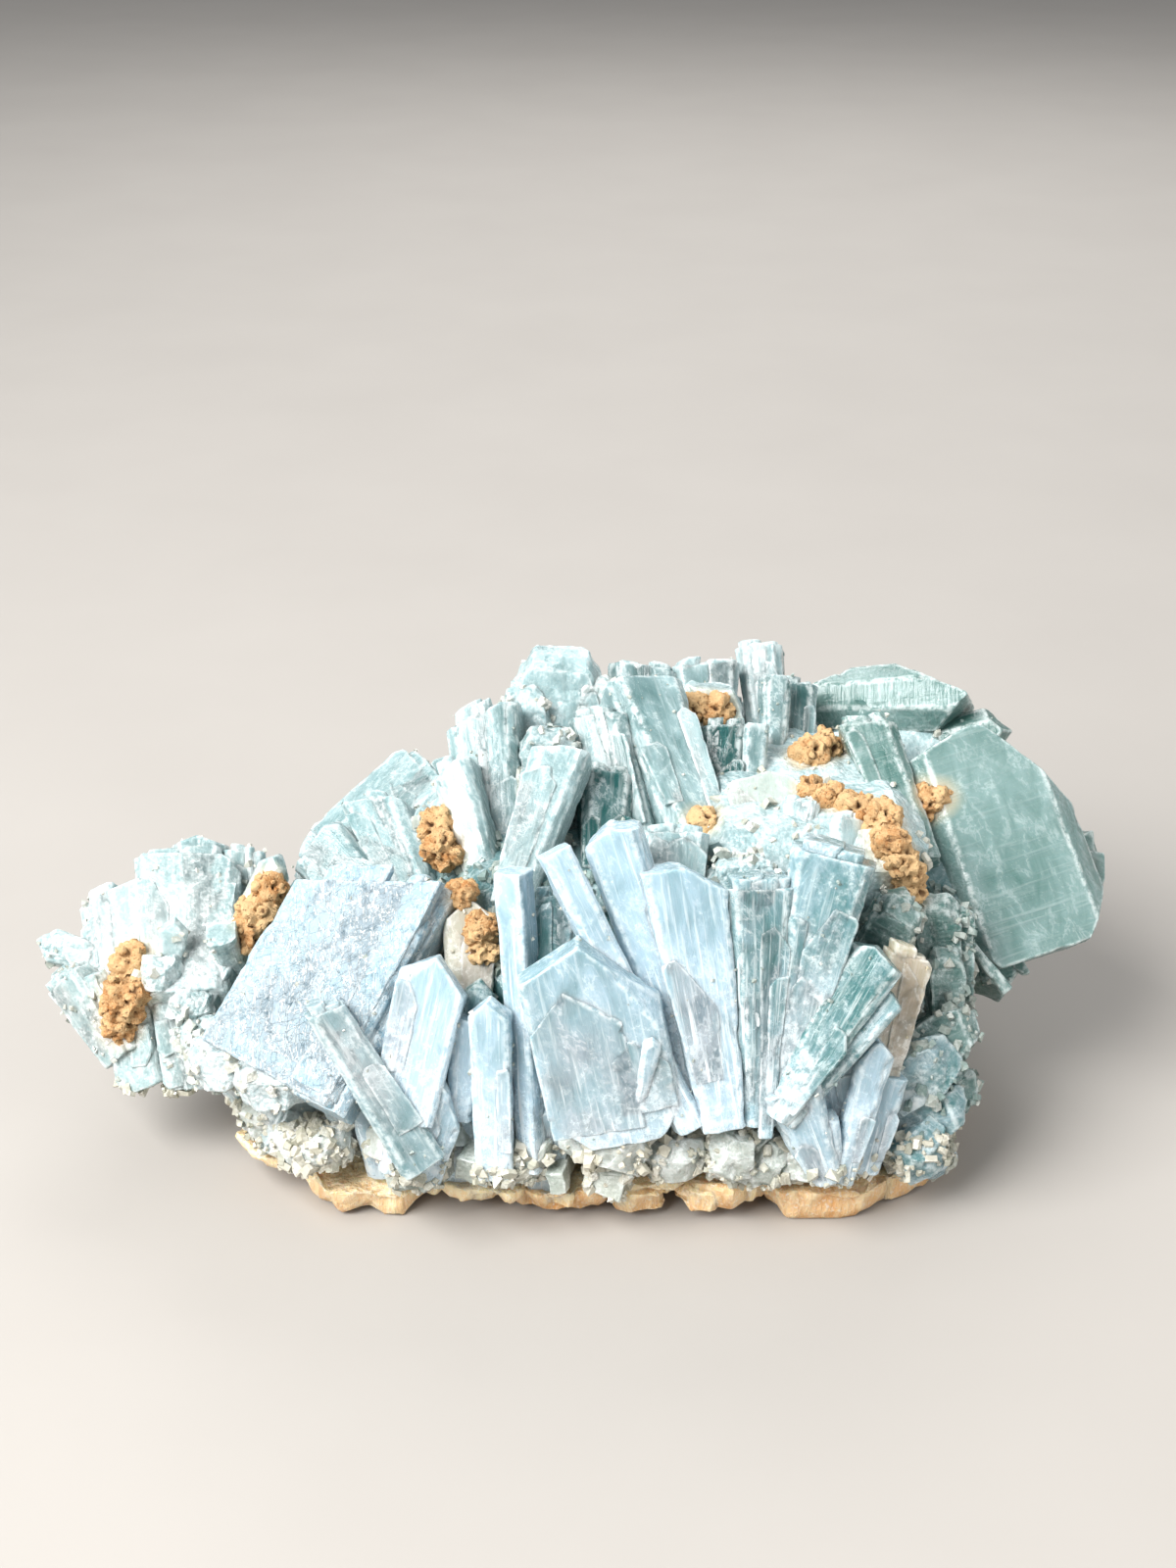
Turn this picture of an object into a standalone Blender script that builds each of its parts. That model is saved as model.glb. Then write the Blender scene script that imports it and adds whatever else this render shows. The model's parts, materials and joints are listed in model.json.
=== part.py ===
"""Blue barite specimen, about 173 mm wide, 110 mm deep and 68 mm high.

Tabular and prismatic barite crystals, grown together into one solid, stand on a thin crust of
honey-coloured crystals. Lumps of ochre clay lie in the pockets between them.

The frame: +X is the specimen's long direction, -Y its show side, +Z up, with the origin on the
surface it rests on, below the middle of its box. The tables below are in millimetres.
"""
import math
import random
from dataclasses import dataclass, replace
from enum import Enum

import bmesh
import bpy
from mathutils import Matrix, Vector

MM = 0.001
GAP = 0.35            # clear space left between a piece and the crystals around it
MERGE = 0.0001        # metres: points closer than this are one point
CUT_MARGIN = 1e-7     # metres: points this near a cutting plane lie on it
SLIVER = 3e-6         # metres: no triangle is left thinner than this
FLAT_ANGLE = math.radians(0.6)   # faces nearer to one plane than this are one face

CRUST_TOP = 7.0       # height of the crust under the crystals
FOOT_CENTRE = Vector((4.0, -5.0, 0.0))
FOOT_RADII = (55.0, 48.0)        # half width and half depth of the crystals' foot line
FOOT_SQUARENESS = 2.7            # 2 would be an ellipse, more is boxier

OVERSIZE = 1.2        # how much wider than the crystal the box is that it is cut from
END_STOCK = 1.5       # length left above the tip for the end faces to cut, in crystal widths
LEAST_FACE_TAPER = 0.8           # a broad crystal narrows, but it hardly gets thinner
CHIP_DEPTH = (0.05, 0.14)        # range, in crystal widths
FRINGE_INSET = 8.0    # how far inside the foot line the small crystals start
CLAY_CLEARANCE = 1.3  # the clay's flat facets need a little more than GAP

BLUE = (0.42, 0.56, 0.60)
HONEY = (0.62, 0.47, 0.28)
OCHRE = (0.62, 0.36, 0.15)


class End(Enum):
    """Shape of a crystal's free end, as the sideways tilts of its faces.

    The faces meet at the tip, except those of a dome, which touch a rounded cap.
    """
    FLAT = ((0.0, 0.0),)
    WEDGE = ((0.0, 0.9), (0.0, -0.9))
    ROOF = ((0.8, 0.0), (-0.8, 0.0))
    LOW_ROOF = ((0.35, 0.0), (-0.35, 0.0))
    POINT = ((0.9, 0.5), (-0.9, 0.5), (0.9, -0.5), (-0.9, -0.5))
    DOME = ((0.1, 0.2), (0.9, 0.4), (-0.8, 0.5), (0.1, -0.9), (2.8, -1.0), (-2.8, -0.8))


@dataclass(frozen=True)
class Crystal:
    """One crystal: where it stands, where it points and which way its broad face looks."""
    name: str
    foot: tuple
    tip: tuple
    faces: tuple
    width: float
    thick: float
    end: End = End.FLAT
    slant: float = 0.0       # tilt of the end: above 0, its right side is the lower one
    taper: float = 0.75      # the foot's share of the tip's width
    bevel: float = 0.18      # share of the thickness taken off the long edges
    steps: int = 0           # thinner crystals grown along its sides
    splay: float = 0.0       # degrees that those lean away from it
    chips: int = 1           # corners broken or grown off
    root: float = 3.0        # length below the foot, inside the mass
    trims: tuple = ()        # corners cut off: (right, inward, up, depth)


LEFT_LOBE = (
    Crystal("table", (-61, -25, 27), (-63, -3, 37.5), (0, -0.6, 0.8), 18, 10, slant=6),
    Crystal("left_block", (-71, -24, 25), (-74, -8, 34.5), (-0.3, -0.6, 0.75), 13, 8, slant=-8),
    Crystal("peak", (-61, -10, 27), (-61.5, -1, 41), (0, -1, 0.4), 9, 8, End.LOW_ROOF),
    Crystal("pale_peak", (-53, -11, 27), (-54.5, -2, 40), (0.2, -1, 0.4), 7, 6, slant=8),
    Crystal("blade", (-57.5, -27, 27), (-47, -11, 43.5), (-0.4, -0.8, 0.4), 5, 4.5, End.POINT),
    Crystal("stub", (-53.5, -22, 28), (-55, -26, 37.5), (0, -1, 0.2), 5, 4.5, chips=1),
    Crystal("shard", (-64, -25, 29), (-62.5, -23, 39), (0, -1, 0.2), 5, 3, End.POINT),
    Crystal("druse_a", (-65, -20, 27), (-65, -29, 32), (0, -0.2, 1), 8, 6, End.DOME),
    Crystal("druse_b", (-60, -21, 24), (-60, -32, 27), (0.2, -0.2, 1), 8, 6, End.DOME),
    Crystal("west_tip", (-74, -19, 28), (-86, -16.5, 30), (0, -0.7, 0.7), 6, 5, End.ROOF),
    Crystal("west_tip_low", (-72, -21, 24), (-83.5, -22, 27), (0, -0.9, 0.4), 7, 5, End.ROOF),
    Crystal("wing", (-71.5, -30, 17), (-81, -22, 28), (-0.5, -0.9, 0.1), 9, 5, steps=1, splay=8, root=0),
    Crystal("low_fan", (-70, -26, 24), (-68.5, -32, 12), (-0.2, -1, 0), 9, 5, End.LOW_ROOF),
    Crystal("low_corner", (-64, -27, 23), (-61.5, -32, 12.5), (0.3, -1, 0), 7, 6, chips=3),
    Crystal("bridge", (-55, -25, 18), (-59, -35, 24), (-0.2, -0.5, 0.9), 11, 8, End.DOME),
    Crystal("under", (-60, -18, 22), (-66, -23, 9), (-0.6, -0.8, 0), 12, 8, End.ROOF),
)

LEFT_PLATE = (
    Crystal("big_plate", (-45, -47.5, 25), (-29, -29, 49), (-0.25, -0.7, 0.7), 23, 9, End.LOW_ROOF, slant=-24,
            taper=1.05, bevel=0.1, root=0, chips=3),
    Crystal("plate_step_a", (-37, -50, 27), (-21, -30, 48), (-0.2, -0.7, 0.7), 9, 8, slant=-24, taper=1.0),
    Crystal("plate_step_b", (-36, -51, 25), (-26, -38, 39), (-0.2, -0.75, 0.65), 9, 7, slant=-20, taper=1.0),
    Crystal("plate_skirt", (-51, -37, 22), (-54.5, -45, 26), (-0.4, -0.5, 0.8), 13, 9, End.DOME),
    Crystal("plate_foot", (-43, -40, 23), (-45, -51, 25.5), (-0.2, -0.5, 0.8), 15, 8, End.DOME),
    Crystal("diagonal_blade", (-24, -54, 17), (-37.5, -49, 40), (0.25, -1, 0.4), 6, 5, slant=12, taper=1.2),
    Crystal("cave_plate_a", (-42, -41, 12), (-47, -41, 23), (0, -0.9, 0.4), 10, 6),
    Crystal("cave_plate_b", (-34, -44, 14), (-37, -44, 25), (0.3, -1, 0.2), 8, 5, End.ROOF),
    Crystal("low_ledge", (-38, -38, 9), (-47.5, -42, 14), (-0.2, -1, 0.3), 10, 8),
    Crystal("low_skirt", (-48, -32, 12), (-54.5, -37, 18), (-0.4, -0.7, 0.5), 10, 7, End.ROOF),
)

LEFT_SLOPE = (
    Crystal("slope_face", (-36.5, 2, 35.5), (-22, 9, 46), (-0.48, -0.29, 0.83), 18, 12, bevel=0.1, taper=0.95),
    Crystal("slope_block", (-25, -17, 40), (-32.5, -1, 47.5), (-0.2, -0.8, 0.5), 10, 8, slant=30),
    Crystal("slope_ledge", (-31, -16, 36), (-42.5, -5, 42), (-0.2, -0.6, 0.75), 11, 7, slant=-10),
    Crystal("pocket_wall", (-20, -2, 38), (-20.5, -13, 50.5), (0, -0.9, 0.4), 11, 9, End.DOME),
    Crystal("slope_low", (-34, 8, 26), (-46, 6, 32), (-0.6, 0, 0.8), 16, 9),
)

TOP_ROW = (
    Crystal("column_block", (-12.5, -16, 40), (-15, 3, 62.5), (-0.1, -0.8, 0.6), 12, 9, slant=-20),
    Crystal("column_front", (-12.5, -26, 42), (-19.5, -9, 59), (-0.2, -0.8, 0.5), 7, 7, slant=-10),
    Crystal("speckled_blade", (-9, -30, 47), (-2, -12, 61.5), (-0.15, -0.8, 0.5), 9.5, 8, slant=-8, taper=0.7),
    Crystal("teal_block", (4, -24, 45), (5, -7, 55.5), (0.1, -0.8, 0.6), 9, 8, slant=5),
    Crystal("plate_left", (10, -16, 46), (4, 3, 62), (-0.4, -0.8, 0.5), 10, 8, slant=12),
    Crystal("top_plate", (19, -16, 48), (10.5, 8, 62.5), (0.3, -0.7, 0.65), 13, 11, slant=6),
    Crystal("milky_round", (-3, 10, 48), (-3, 19, 66), (0, -0.9, 0.4), 16, 14, End.DOME),
    Crystal("milky_west", (-7, 6, 48), (-8, 13, 62.5), (-0.2, -0.9, 0.4), 9, 10, End.DOME),
    Crystal("milky_east", (3, 8, 48), (3, 15, 63), (0.2, -0.9, 0.4), 8, 8, End.DOME),
    Crystal("saddle_druse", (-5, -9, 50), (-4, -3, 62), (0, -0.9, 0.4), 10, 8, End.DOME),
    Crystal("back_row_a", (11, 20, 46), (11.5, 31, 57), (0, -0.8, 0.6), 12, 9, slant=6),
    Crystal("back_row_b", (22, 22, 46), (22, 32, 57.5), (0.1, -0.8, 0.6), 12, 8, slant=-5),
    Crystal("round_pale", (23, 5, 48), (21.5, 16, 61), (0.1, -0.7, 0.7), 12, 8, End.DOME),
    Crystal("notch_teal", (23, -8, 46), (24, 4, 59.5), (0, -0.8, 0.6), 8, 7, slant=-4),
    Crystal("bright_blade", (32, 1, 46), (33, 14, 63), (0.2, -0.9, 0.4), 5, 4.5, chips=1),
    Crystal("short_blade", (28, -7, 47), (29, 2, 60), (0.1, -0.9, 0.4), 4.5, 4, chips=1),
    Crystal("top_block", (33, 28, 46), (32, 38, 58.5), (-0.1, -0.8, 0.5), 8.5, 8),
    Crystal("dark_block", (36, 7, 46), (37, 20, 59.5), (0.1, -0.8, 0.6), 7, 7),
)

SHELF = (
    Crystal("shelf_block", (15, -36, 44), (15, -26, 56), (0, -0.8, 0.6), 11, 8, slant=3),
    Crystal("shelf_druse", (25, -38, 45), (25, -30, 54), (0.1, -0.7, 0.7), 12, 7, End.DOME),
    Crystal("shelf_pale", (31, -25, 45), (30, -8, 54.5), (0.1, -0.6, 0.8), 15, 8, End.LOW_ROOF),
    Crystal("cube_left", (33, -26, 46), (35.5, -16, 55.5), (-0.3, -0.8, 0.5), 6.5, 6),
    Crystal("cube_right", (40, -29, 46), (42, -20, 55), (0.3, -0.8, 0.5), 7, 6),
)

RIGHT_BLADES = (
    Crystal("lens", (64, 21, 56), (38.5, 27, 52), (0, -0.8, 0.6), 11, 10, End.ROOF, taper=1.15, bevel=0.35,
            trims=((1, 0, -0.5, 6), (-1, 0, -0.9, 4), (1, 0, 0.5, 2))),
    Crystal("lens_dark", (60, 19, 48), (74.5, 18, 51), (0.1, -0.8, 0.6), 10, 9, End.POINT, bevel=0.3),
    Crystal("pale_column", (54, -13, 45), (47, 5, 59), (-0.1, -0.7, 0.7), 9, 9, slant=16, chips=1),
    Crystal("giant_plate", (74.5, -16, 27), (62.5, 5.5, 57), (0.12, -0.8, 0.6), 26, 14, End.LOW_ROOF, slant=6,
            taper=1.05, bevel=0.3, root=0, trims=((1, 0, -0.9, 5), (-1, 0, -0.8, 4), (1, 0, 0.7, 6))),
    Crystal("giant_step", (75, -3, 29), (76, 10, 45), (0.5, -0.7, 0.6), 12, 11, End.ROOF),
    Crystal("giant_side", (78, -5, 27), (83.5, 5, 39), (0.5, -0.6, 0.6), 12, 10, End.ROOF),
    Crystal("giant_toe", (65, -10, 30), (69, -19, 21.5), (0.2, -0.9, 0.4), 9, 8, End.ROOF),
    Crystal("giant_back", (64, 4, 28), (74, 10, 40), (0.3, -0.3, 0.9), 22, 12),
    Crystal("column_inner", (57, -37, 24), (56.5, -31, 38), (0.1, -1, 0.4), 6, 6, End.DOME),
    Crystal("column_pale", (57, -32, 30), (55.5, -25, 44), (-0.1, -1, 0.4), 8, 6, End.DOME, steps=1),
    Crystal("stick", (60, -25, 37), (67.5, -28.5, 28.5), (0.2, -1, 0.2), 2.2, 2.2, chips=0),
    Crystal("dark_stub", (52, -38, 24), (61, -36, 28.5), (0.2, -0.9, 0.5), 9, 8, End.DOME),
    Crystal("side_stub", (50, -36, 14), (62, -39, 18), (0.3, -0.9, 0.4), 9, 8, End.DOME),
    Crystal("seam_wall", (45, -33, 38), (50, -35, 49), (0, -0.9, 0.4), 8, 8, End.DOME),
)

FRONT_FAN = (
    Crystal("front_prism", (-6.5, -51, 14), (-9, -40, 56.5), (-0.5, -0.9, 0.2), 5, 4.5, bevel=0.1, chips=1),
    Crystal("crossing_blade", (16, -53, 23), (-3, -43, 61.5), (0.2, -0.9, 0.5), 5, 4.5, taper=0.9, chips=1),
    Crystal("tall_side", (18, -49, 25), (5, -38, 63), (-0.1, -0.9, 0.35), 9, 7, End.LOW_ROOF, slant=-4),
    Crystal("tall_plate", (22, -53, 20), (15.5, -41, 58), (0.15, -0.95, 0.3), 13, 6.5, End.LOW_ROOF, slant=22,
            taper=0.5, bevel=0.1, root=0),
    Crystal("low_plate", (7, -53, 18), (0.5, -50, 50.5), (-0.05, -1, 0.25), 20, 5, End.ROOF, slant=18,
            taper=1.0, root=0, trims=((1, 0, -0.8, 3), (-1, 0, -1, 4))),
    Crystal("plate_spike", (9.5, -54, 25), (11.5, -54, 37), (0.1, -1, 0.2), 3, 3, End.POINT, chips=0),
    Crystal("fan_column", (27, -52, 20), (27, -40, 56), (0.1, -0.95, 0.3), 10.5, 7, taper=0.4, steps=3, splay=6,
            root=0),
    Crystal("block_blade", (30, -50, 23), (38.5, -38, 60), (-0.1, -0.9, 0.4), 13, 8, slant=2, taper=0.4, steps=1,
            root=0),
    Crystal("frosted_blade", (30, -54, 22), (44.5, -44, 46), (-0.2, -0.9, 0.5), 11, 6, End.LOW_ROOF, taper=0.35,
            steps=1, root=0),
    Crystal("cream_sheet", (46, -46, 24), (50, -41, 44.5), (0.3, -0.9, 0.3), 8, 3, slant=10, taper=0.6),
    Crystal("low_fan_white", (38, -53.5, 11), (32, -52, 27), (-0.1, -1, 0.2), 9, 5, steps=2, taper=0.5, root=0),
    Crystal("low_blade_a", (40, -53, 10), (45, -47, 32), (0.1, -1, 0.3), 6, 5, End.ROOF, taper=0.6, root=0),
    Crystal("low_blade_b", (43.5, -50, 10), (47, -46, 25), (0.3, -1, 0.3), 6, 5, taper=0.8, root=0),
    Crystal("right_lump_a", (50, -41, 20), (57, -41, 27), (0.3, -0.9, 0.4), 10, 8, End.DOME),
    Crystal("right_lump_b", (50, -40, 12), (60, -42, 18), (0.3, -0.9, 0.4), 9, 8, End.DOME),
    Crystal("right_lump_c", (49, -40, 9), (55, -48, 12), (0.3, -0.7, 0.6), 11, 8, End.DOME),
    Crystal("right_lump_d", (50, -36, 6), (58, -43, 8), (0.5, -0.7, 0.4), 10, 7, End.DOME),
    Crystal("recess_teal", (-3, -45, 34), (-3, -35, 51), (0, -1, 0.3), 8, 6, slant=-8),
    Crystal("white_blade", (-12, -53, 14), (-12.5, -48, 39.5), (-0.1, -1, 0.2), 6.5, 3, End.ROOF, taper=0.9),
    Crystal("pale_shard", (-25, -52, 24), (-20, -44, 44.5), (-0.1, -1, 0.4), 11, 4, End.ROOF, slant=10, taper=0.9),
    Crystal("pale_blocks", (-24, -52, 14), (-20, -50, 27), (0.1, -1, 0.3), 11, 5, End.ROOF, taper=0.9),
    Crystal("cream_shard", (-16, -41, 32), (-15.5, -32, 47), (0, -0.9, 0.5), 9, 5, End.ROOF),
    Crystal("dark_shard", (-15.5, -45, 29), (-14, -42, 39.5), (-0.3, -1, 0.2), 5, 4, End.POINT),
    Crystal("blue_shard", (-17, -49, 22), (-16, -46, 35), (0.1, -1, 0.2), 5.5, 4, slant=15),
    Crystal("toe_white_a", (-25, -45, 11), (-26, -53, 17), (0, -0.6, 0.8), 13, 7, End.DOME),
    Crystal("toe_white_b", (5, -46, 12), (4, -54, 18), (0, -0.6, 0.8), 15, 7, End.DOME),
    Crystal("toe_white_c", (36, -44, 9), (37, -53, 14), (0.1, -0.7, 0.7), 14, 7, End.DOME),
    Crystal("toe_left_a", (-38, -40, 12), (-41, -51, 13), (-0.2, -0.3, 0.9), 14, 7, End.DOME),
    Crystal("toe_left_b", (-44, -35, 12), (-49.5, -43, 14), (-0.3, -0.3, 0.9), 12, 7, End.DOME),
    Crystal("toe_mid_a", (-8, -43, 12), (-9, -53, 13), (0, -0.3, 0.9), 13, 7, End.DOME),
    Crystal("toe_mid_b", (14, -43, 12), (15, -53, 13), (0, -0.3, 0.9), 13, 7, End.DOME),
    Crystal("toe_mid_c", (27, -43, 11), (29, -53, 12), (0, -0.3, 0.9), 12, 7, End.DOME),
    Crystal("toe_grey", (23, -46, 11), (23.5, -54, 17), (0, -0.8, 0.6), 10, 7, End.DOME),
)

BACK = (
    Crystal("back_plate_west", (-24, 36, 10), (-19, 25, 41), (-0.25, 0.8, 0.5), 21, 9, slant=14, chips=0),
    Crystal("back_plate_mid", (0, 44, 9), (-3, 31, 49), (0, 0.9, 0.4), 18, 9, End.LOW_ROOF, chips=0),
    Crystal("back_plate_east", (26, 45, 10), (22, 33, 49), (0.1, 0.9, 0.4), 19, 9, slant=-10),
    Crystal("back_blade_east", (47, 36, 10), (42, 28, 46), (0.4, 0.8, 0.4), 14, 9, End.ROOF, chips=0),
    Crystal("back_fan_a", (-15, 45, 8), (-9, 43, 31), (-0.2, 0.9, 0.3), 12, 7, End.ROOF, chips=0),
    Crystal("back_fan_b", (12, 48, 8), (16, 46, 33), (0.1, 0.9, 0.3), 13, 7, slant=12, chips=0),
    Crystal("back_fan_c", (38, 44, 8), (33, 42, 29), (0.3, 0.9, 0.3), 12, 7, End.ROOF, chips=0),
    Crystal("back_wall_west", (-40, 20, 10), (-31, 18, 34), (-0.7, 0.6, 0.4), 17, 9, slant=-10, chips=0),
    Crystal("back_giant", (60, 20, 16), (58, 22, 40), (0.6, 0.7, 0.3), 17, 9, End.LOW_ROOF, chips=0),
    Crystal("back_crown", (-8, 20, 39), (-10, 31, 51), (-0.1, 0.6, 0.8), 15, 8, End.LOW_ROOF, chips=0),
    Crystal("back_lobe", (-60, -4, 18), (-64, 4, 31), (-0.2, 0.9, 0.3), 17, 8, slant=8, chips=0),
    Crystal("east_side", (56, -4, 12), (62, -2, 30), (0.9, 0.2, 0.3), 16, 8, End.ROOF, chips=0),
    Crystal("west_side", (-48, -6, 8), (-50, -6, 24), (-0.9, 0.2, 0.3), 15, 8, End.ROOF, chips=0),
)

# Blocks of the mass that the crystals grow from: lowest corner, highest corner, corner cut.
MASS = (
    ((-30, -43, 4), (44, 34, 49), 15),
    ((-50, -41, 4), (-18, 26, 35), 11),
    ((-77, -28, 13), (-46, 1, 31), 9),
    ((34, -36, 4), (60, 26, 43), 10),
    ((46, -18, 26), (80, 20, 46), 9),
    ((-24, 20, 4), (46, 42, 34), 13),
    ((18, -29, 38), (55, 16, 55), 5),
    ((40, 12, 34), (70, 30, 52), 5),
)

# Lumps of the crust: middle (x, y), half widths (x, y), height of its underside. The piece rests on
# the small flat undersides of those at height 0.
CRUST_LUMPS = (
    ((-43, -35), (10, 9), 3.0),
    ((-31, -39), (13, 11), 0.0),
    ((-14, -40), (11, 10), 3.0),
    ((-2, -41), (11, 10), 1.0),
    ((11, -41), (10, 10), 2.5),
    ((23, -41), (10, 10), 2.5),
    ((38, -40), (14, 11), 0.0),
    ((49, -36), (9, 10), 0.5),
    ((-45, -16), (10, 15), 3.0),
    ((53, -14), (9, 15), 2.5),
    ((-38, 10), (13, 15), 2.0),
    ((50, 12), (11, 15), 3.0),
    ((-22, 27), (15, 13), 0.0),
    ((1, 33), (16, 12), 2.0),
    ((26, 32), (15, 13), 0.0),
    ((42, 25), (11, 11), 3.0),
)
CRUST_SLAB = ((3, -5), (44, 36), 1.6)
LUMP_SIDES = 7
SLAB_SIDES = 12
LUMP_HEIGHTS = (-1.2, -0.6, 0.4, 0.8)      # tops of the lumps, from the top of the slab
LUMP_FOOT = 0.8           # share of a lump's width that its underside has
SLAB_FOOT = 0.93

# Clay deposits: for each piece, the middle and the radius of every lump in it.
CLAY = {
    "clay_lobe_pocket": (((-69.8, -23.6, 30.3), 3.6), ((-70.4, -28.2, 27), 4.0), ((-71.6, -29.3, 22.6), 3.0)),
    "clay_lobe_slot": (((-51.6, -22.3, 34.8), 3.2), ((-50, -19.6, 37.4), 3.6), ((-48.5, -17.2, 40.3), 3.0)),
    "clay_left_pocket": (((-21.5, -17, 51.5), 3.2), ((-20.5, -21, 49.5), 3.2)),
    "clay_left_step": (((-17, -32.5, 48), 2.6),),
    "clay_centre_pocket": (((-14.2, -36.5, 44.5), 2.8), ((-13.7, -37.7, 41.5), 2.4)),
    "clay_top_saddle": (((19.5, 9.5, 59.5), 2.8), ((23, 9.5, 59), 3.0)),
    "clay_shelf": (((20.2, -18.2, 52.6), 2.8),),
    "clay_back_notch": (((38, 1, 55), 3.3), ((41, 4, 55.5), 2.8)),
    "clay_seam": (((37, -12.3, 55), 2.6), ((40, -15, 55), 2.8), ((43.5, -18, 55), 3.1), ((47, -21.5, 55), 3.3),
                  ((48, -25.5, 53.3), 3.0), ((50, -27, 50.3), 3.2), ((51.2, -27.3, 46.6), 2.8)),
    "clay_column_patch": (((56, -7, 50.8), 2.8), ((58, -7, 51.2), 2.2)),
}
CLAY_ROUGHNESS = 0.11     # share of a lump's radius that its surface wanders
SMALL_LUMP = 3.7         # lumps up to this radius have fewer faces


def clear_scene():
    """Remove everything that a new Blender file starts with."""
    for item in list(bpy.data.objects):
        bpy.data.objects.remove(item, do_unlink=True)


def new_collection(name):
    """Make a collection in the scene."""
    collection = bpy.data.collections.new(name)
    bpy.context.scene.collection.children.link(collection)
    return collection


def new_object(name, bm, collection):
    """Turn a bmesh into an object of a collection."""
    mesh = bpy.data.meshes.new(name)
    bmesh.ops.recalc_face_normals(bm, faces=bm.faces)
    bm.to_mesh(mesh)
    bm.free()
    item = bpy.data.objects.new(name, mesh)
    collection.objects.link(item)
    return item


def cut(bm, point, normal):
    """Slice off what lies beyond a plane and close the cut."""
    everything = bm.verts[:] + bm.edges[:] + bm.faces[:]
    result = bmesh.ops.bisect_plane(bm, geom=everything, dist=CUT_MARGIN, plane_co=point,
                                    plane_no=normal, clear_outer=True)
    rim = [item for item in result["geom_cut"] if isinstance(item, bmesh.types.BMEdge)]
    if rim:
        bmesh.ops.holes_fill(bm, edges=rim, sides=0)


def shave(bm, normal, depth):
    """Take a corner off: cut the given depth in from the furthest point in one direction."""
    normal = Vector(normal).normalized()
    furthest = max(normal.dot(vert.co) for vert in bm.verts)
    cut(bm, normal * (furthest - depth * MM), normal)


def box(width, depth, low, high):
    """Make a box in millimetres, centred on the Z axis between two heights."""
    bm = bmesh.new()
    bmesh.ops.create_cube(bm, size=1.0)
    size = (width * MM, depth * MM, (high - low) * MM)
    bmesh.ops.scale(bm, vec=size, verts=bm.verts)
    bmesh.ops.translate(bm, vec=(0, 0, (low + high) / 2 * MM), verts=bm.verts)
    return bm


def crystal_frame(crystal):
    """Give the matrix that stands a crystal, built up the Z axis, in its place."""
    foot, tip = Vector(crystal.foot), Vector(crystal.tip)
    axis = (tip - foot).normalized()
    right = axis.cross(Vector(crystal.faces)).normalized()
    inward = axis.cross(right)
    turn = Matrix((right, inward, axis)).transposed().to_4x4()
    return Matrix.Translation(foot * MM) @ turn


def crystal_mesh(crystal):
    """Cut one crystal out of a box by the planes of its faces."""
    length = (Vector(crystal.tip) - Vector(crystal.foot)).length
    half_width, half_thick = crystal.width / 2, crystal.thick / 2
    widest = max(1.0, crystal.taper) * OVERSIZE
    bm = box(crystal.width * widest, crystal.thick * widest, -crystal.root, length + crystal.width * END_STOCK)
    side_slope = half_width * (1 - crystal.taper) / length
    face_slope = half_thick * (1 - max(crystal.taper, LEAST_FACE_TAPER)) / length
    top = Vector((0, 0, length * MM))
    for side in (-1, 1):
        cut(bm, top + Vector((side * half_width * MM, 0, 0)), (side, 0, -side_slope))
        cut(bm, top + Vector((0, side * half_thick * MM, 0)), (0, side, -face_slope))
    bevel = crystal.bevel * crystal.thick
    if bevel > 0 and crystal.end is not End.DOME:
        for side in (-1, 1):
            edge = Vector((side * (half_width - bevel) * MM, -half_thick * MM, 0))
            cut(bm, top + edge, (side, -1, -side_slope - face_slope))
    lean = math.tan(math.radians(crystal.slant))
    cap = Vector((half_width, half_thick, min(half_width, length * 0.5))) * MM
    for across, along in crystal.end.value:
        normal = Vector((across + lean, along, 1))
        touch = top
        if crystal.end is End.DOME:
            reach = Vector((normal.x * cap.x, normal.y * cap.y, normal.z * cap.z)).length
            touch = top - Vector((0, 0, cap.z)) + normal * reach / normal.length_squared
        cut(bm, touch, normal)
    draw = random.Random(crystal.name)
    for _ in range(crystal.chips):
        direction = (draw.choice((-1, 1)) * draw.uniform(0.4, 1), draw.uniform(-1, 1), draw.uniform(0.2, 1))
        shave(bm, direction, draw.uniform(*CHIP_DEPTH) * crystal.width)
    for right, inward, up, depth in crystal.trims:
        shave(bm, (right, inward, up), depth)
    bmesh.ops.transform(bm, matrix=crystal_frame(crystal), verts=bm.verts)
    return bm


def side_crystals(crystal):
    """List the thinner crystals grown along a crystal's sides."""
    draw = random.Random(crystal.name + " steps")
    frame = crystal_frame(crystal).to_3x3()
    foot, tip = Vector(crystal.foot), Vector(crystal.tip)
    length = (tip - foot).length
    neighbours = []
    for number in range(crystal.steps):
        side = 1 if number % 2 == 0 else -1
        shift = frame @ Vector((side * draw.uniform(0.28, 0.5) * crystal.width,
                                draw.uniform(-0.35, 0.45) * crystal.thick, 0))
        drop = draw.uniform(0.12, 0.4) * length
        angle = math.radians(crystal.splay * draw.uniform(0.6, 1.2)) * side
        aim = frame @ Vector((math.sin(angle), 0, math.cos(angle)))
        start = foot + shift * crystal.taper
        neighbours.append(replace(
            crystal, name=f"{crystal.name}_{number}", foot=tuple(start),
            tip=tuple(start + shift * (1 - crystal.taper) + aim * (length - drop)),
            width=crystal.width * draw.uniform(0.35, 0.6), thick=crystal.thick * draw.uniform(0.6, 0.9),
            slant=crystal.slant + draw.uniform(-14, 14), steps=0, chips=1, trims=()))
    return neighbours


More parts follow.
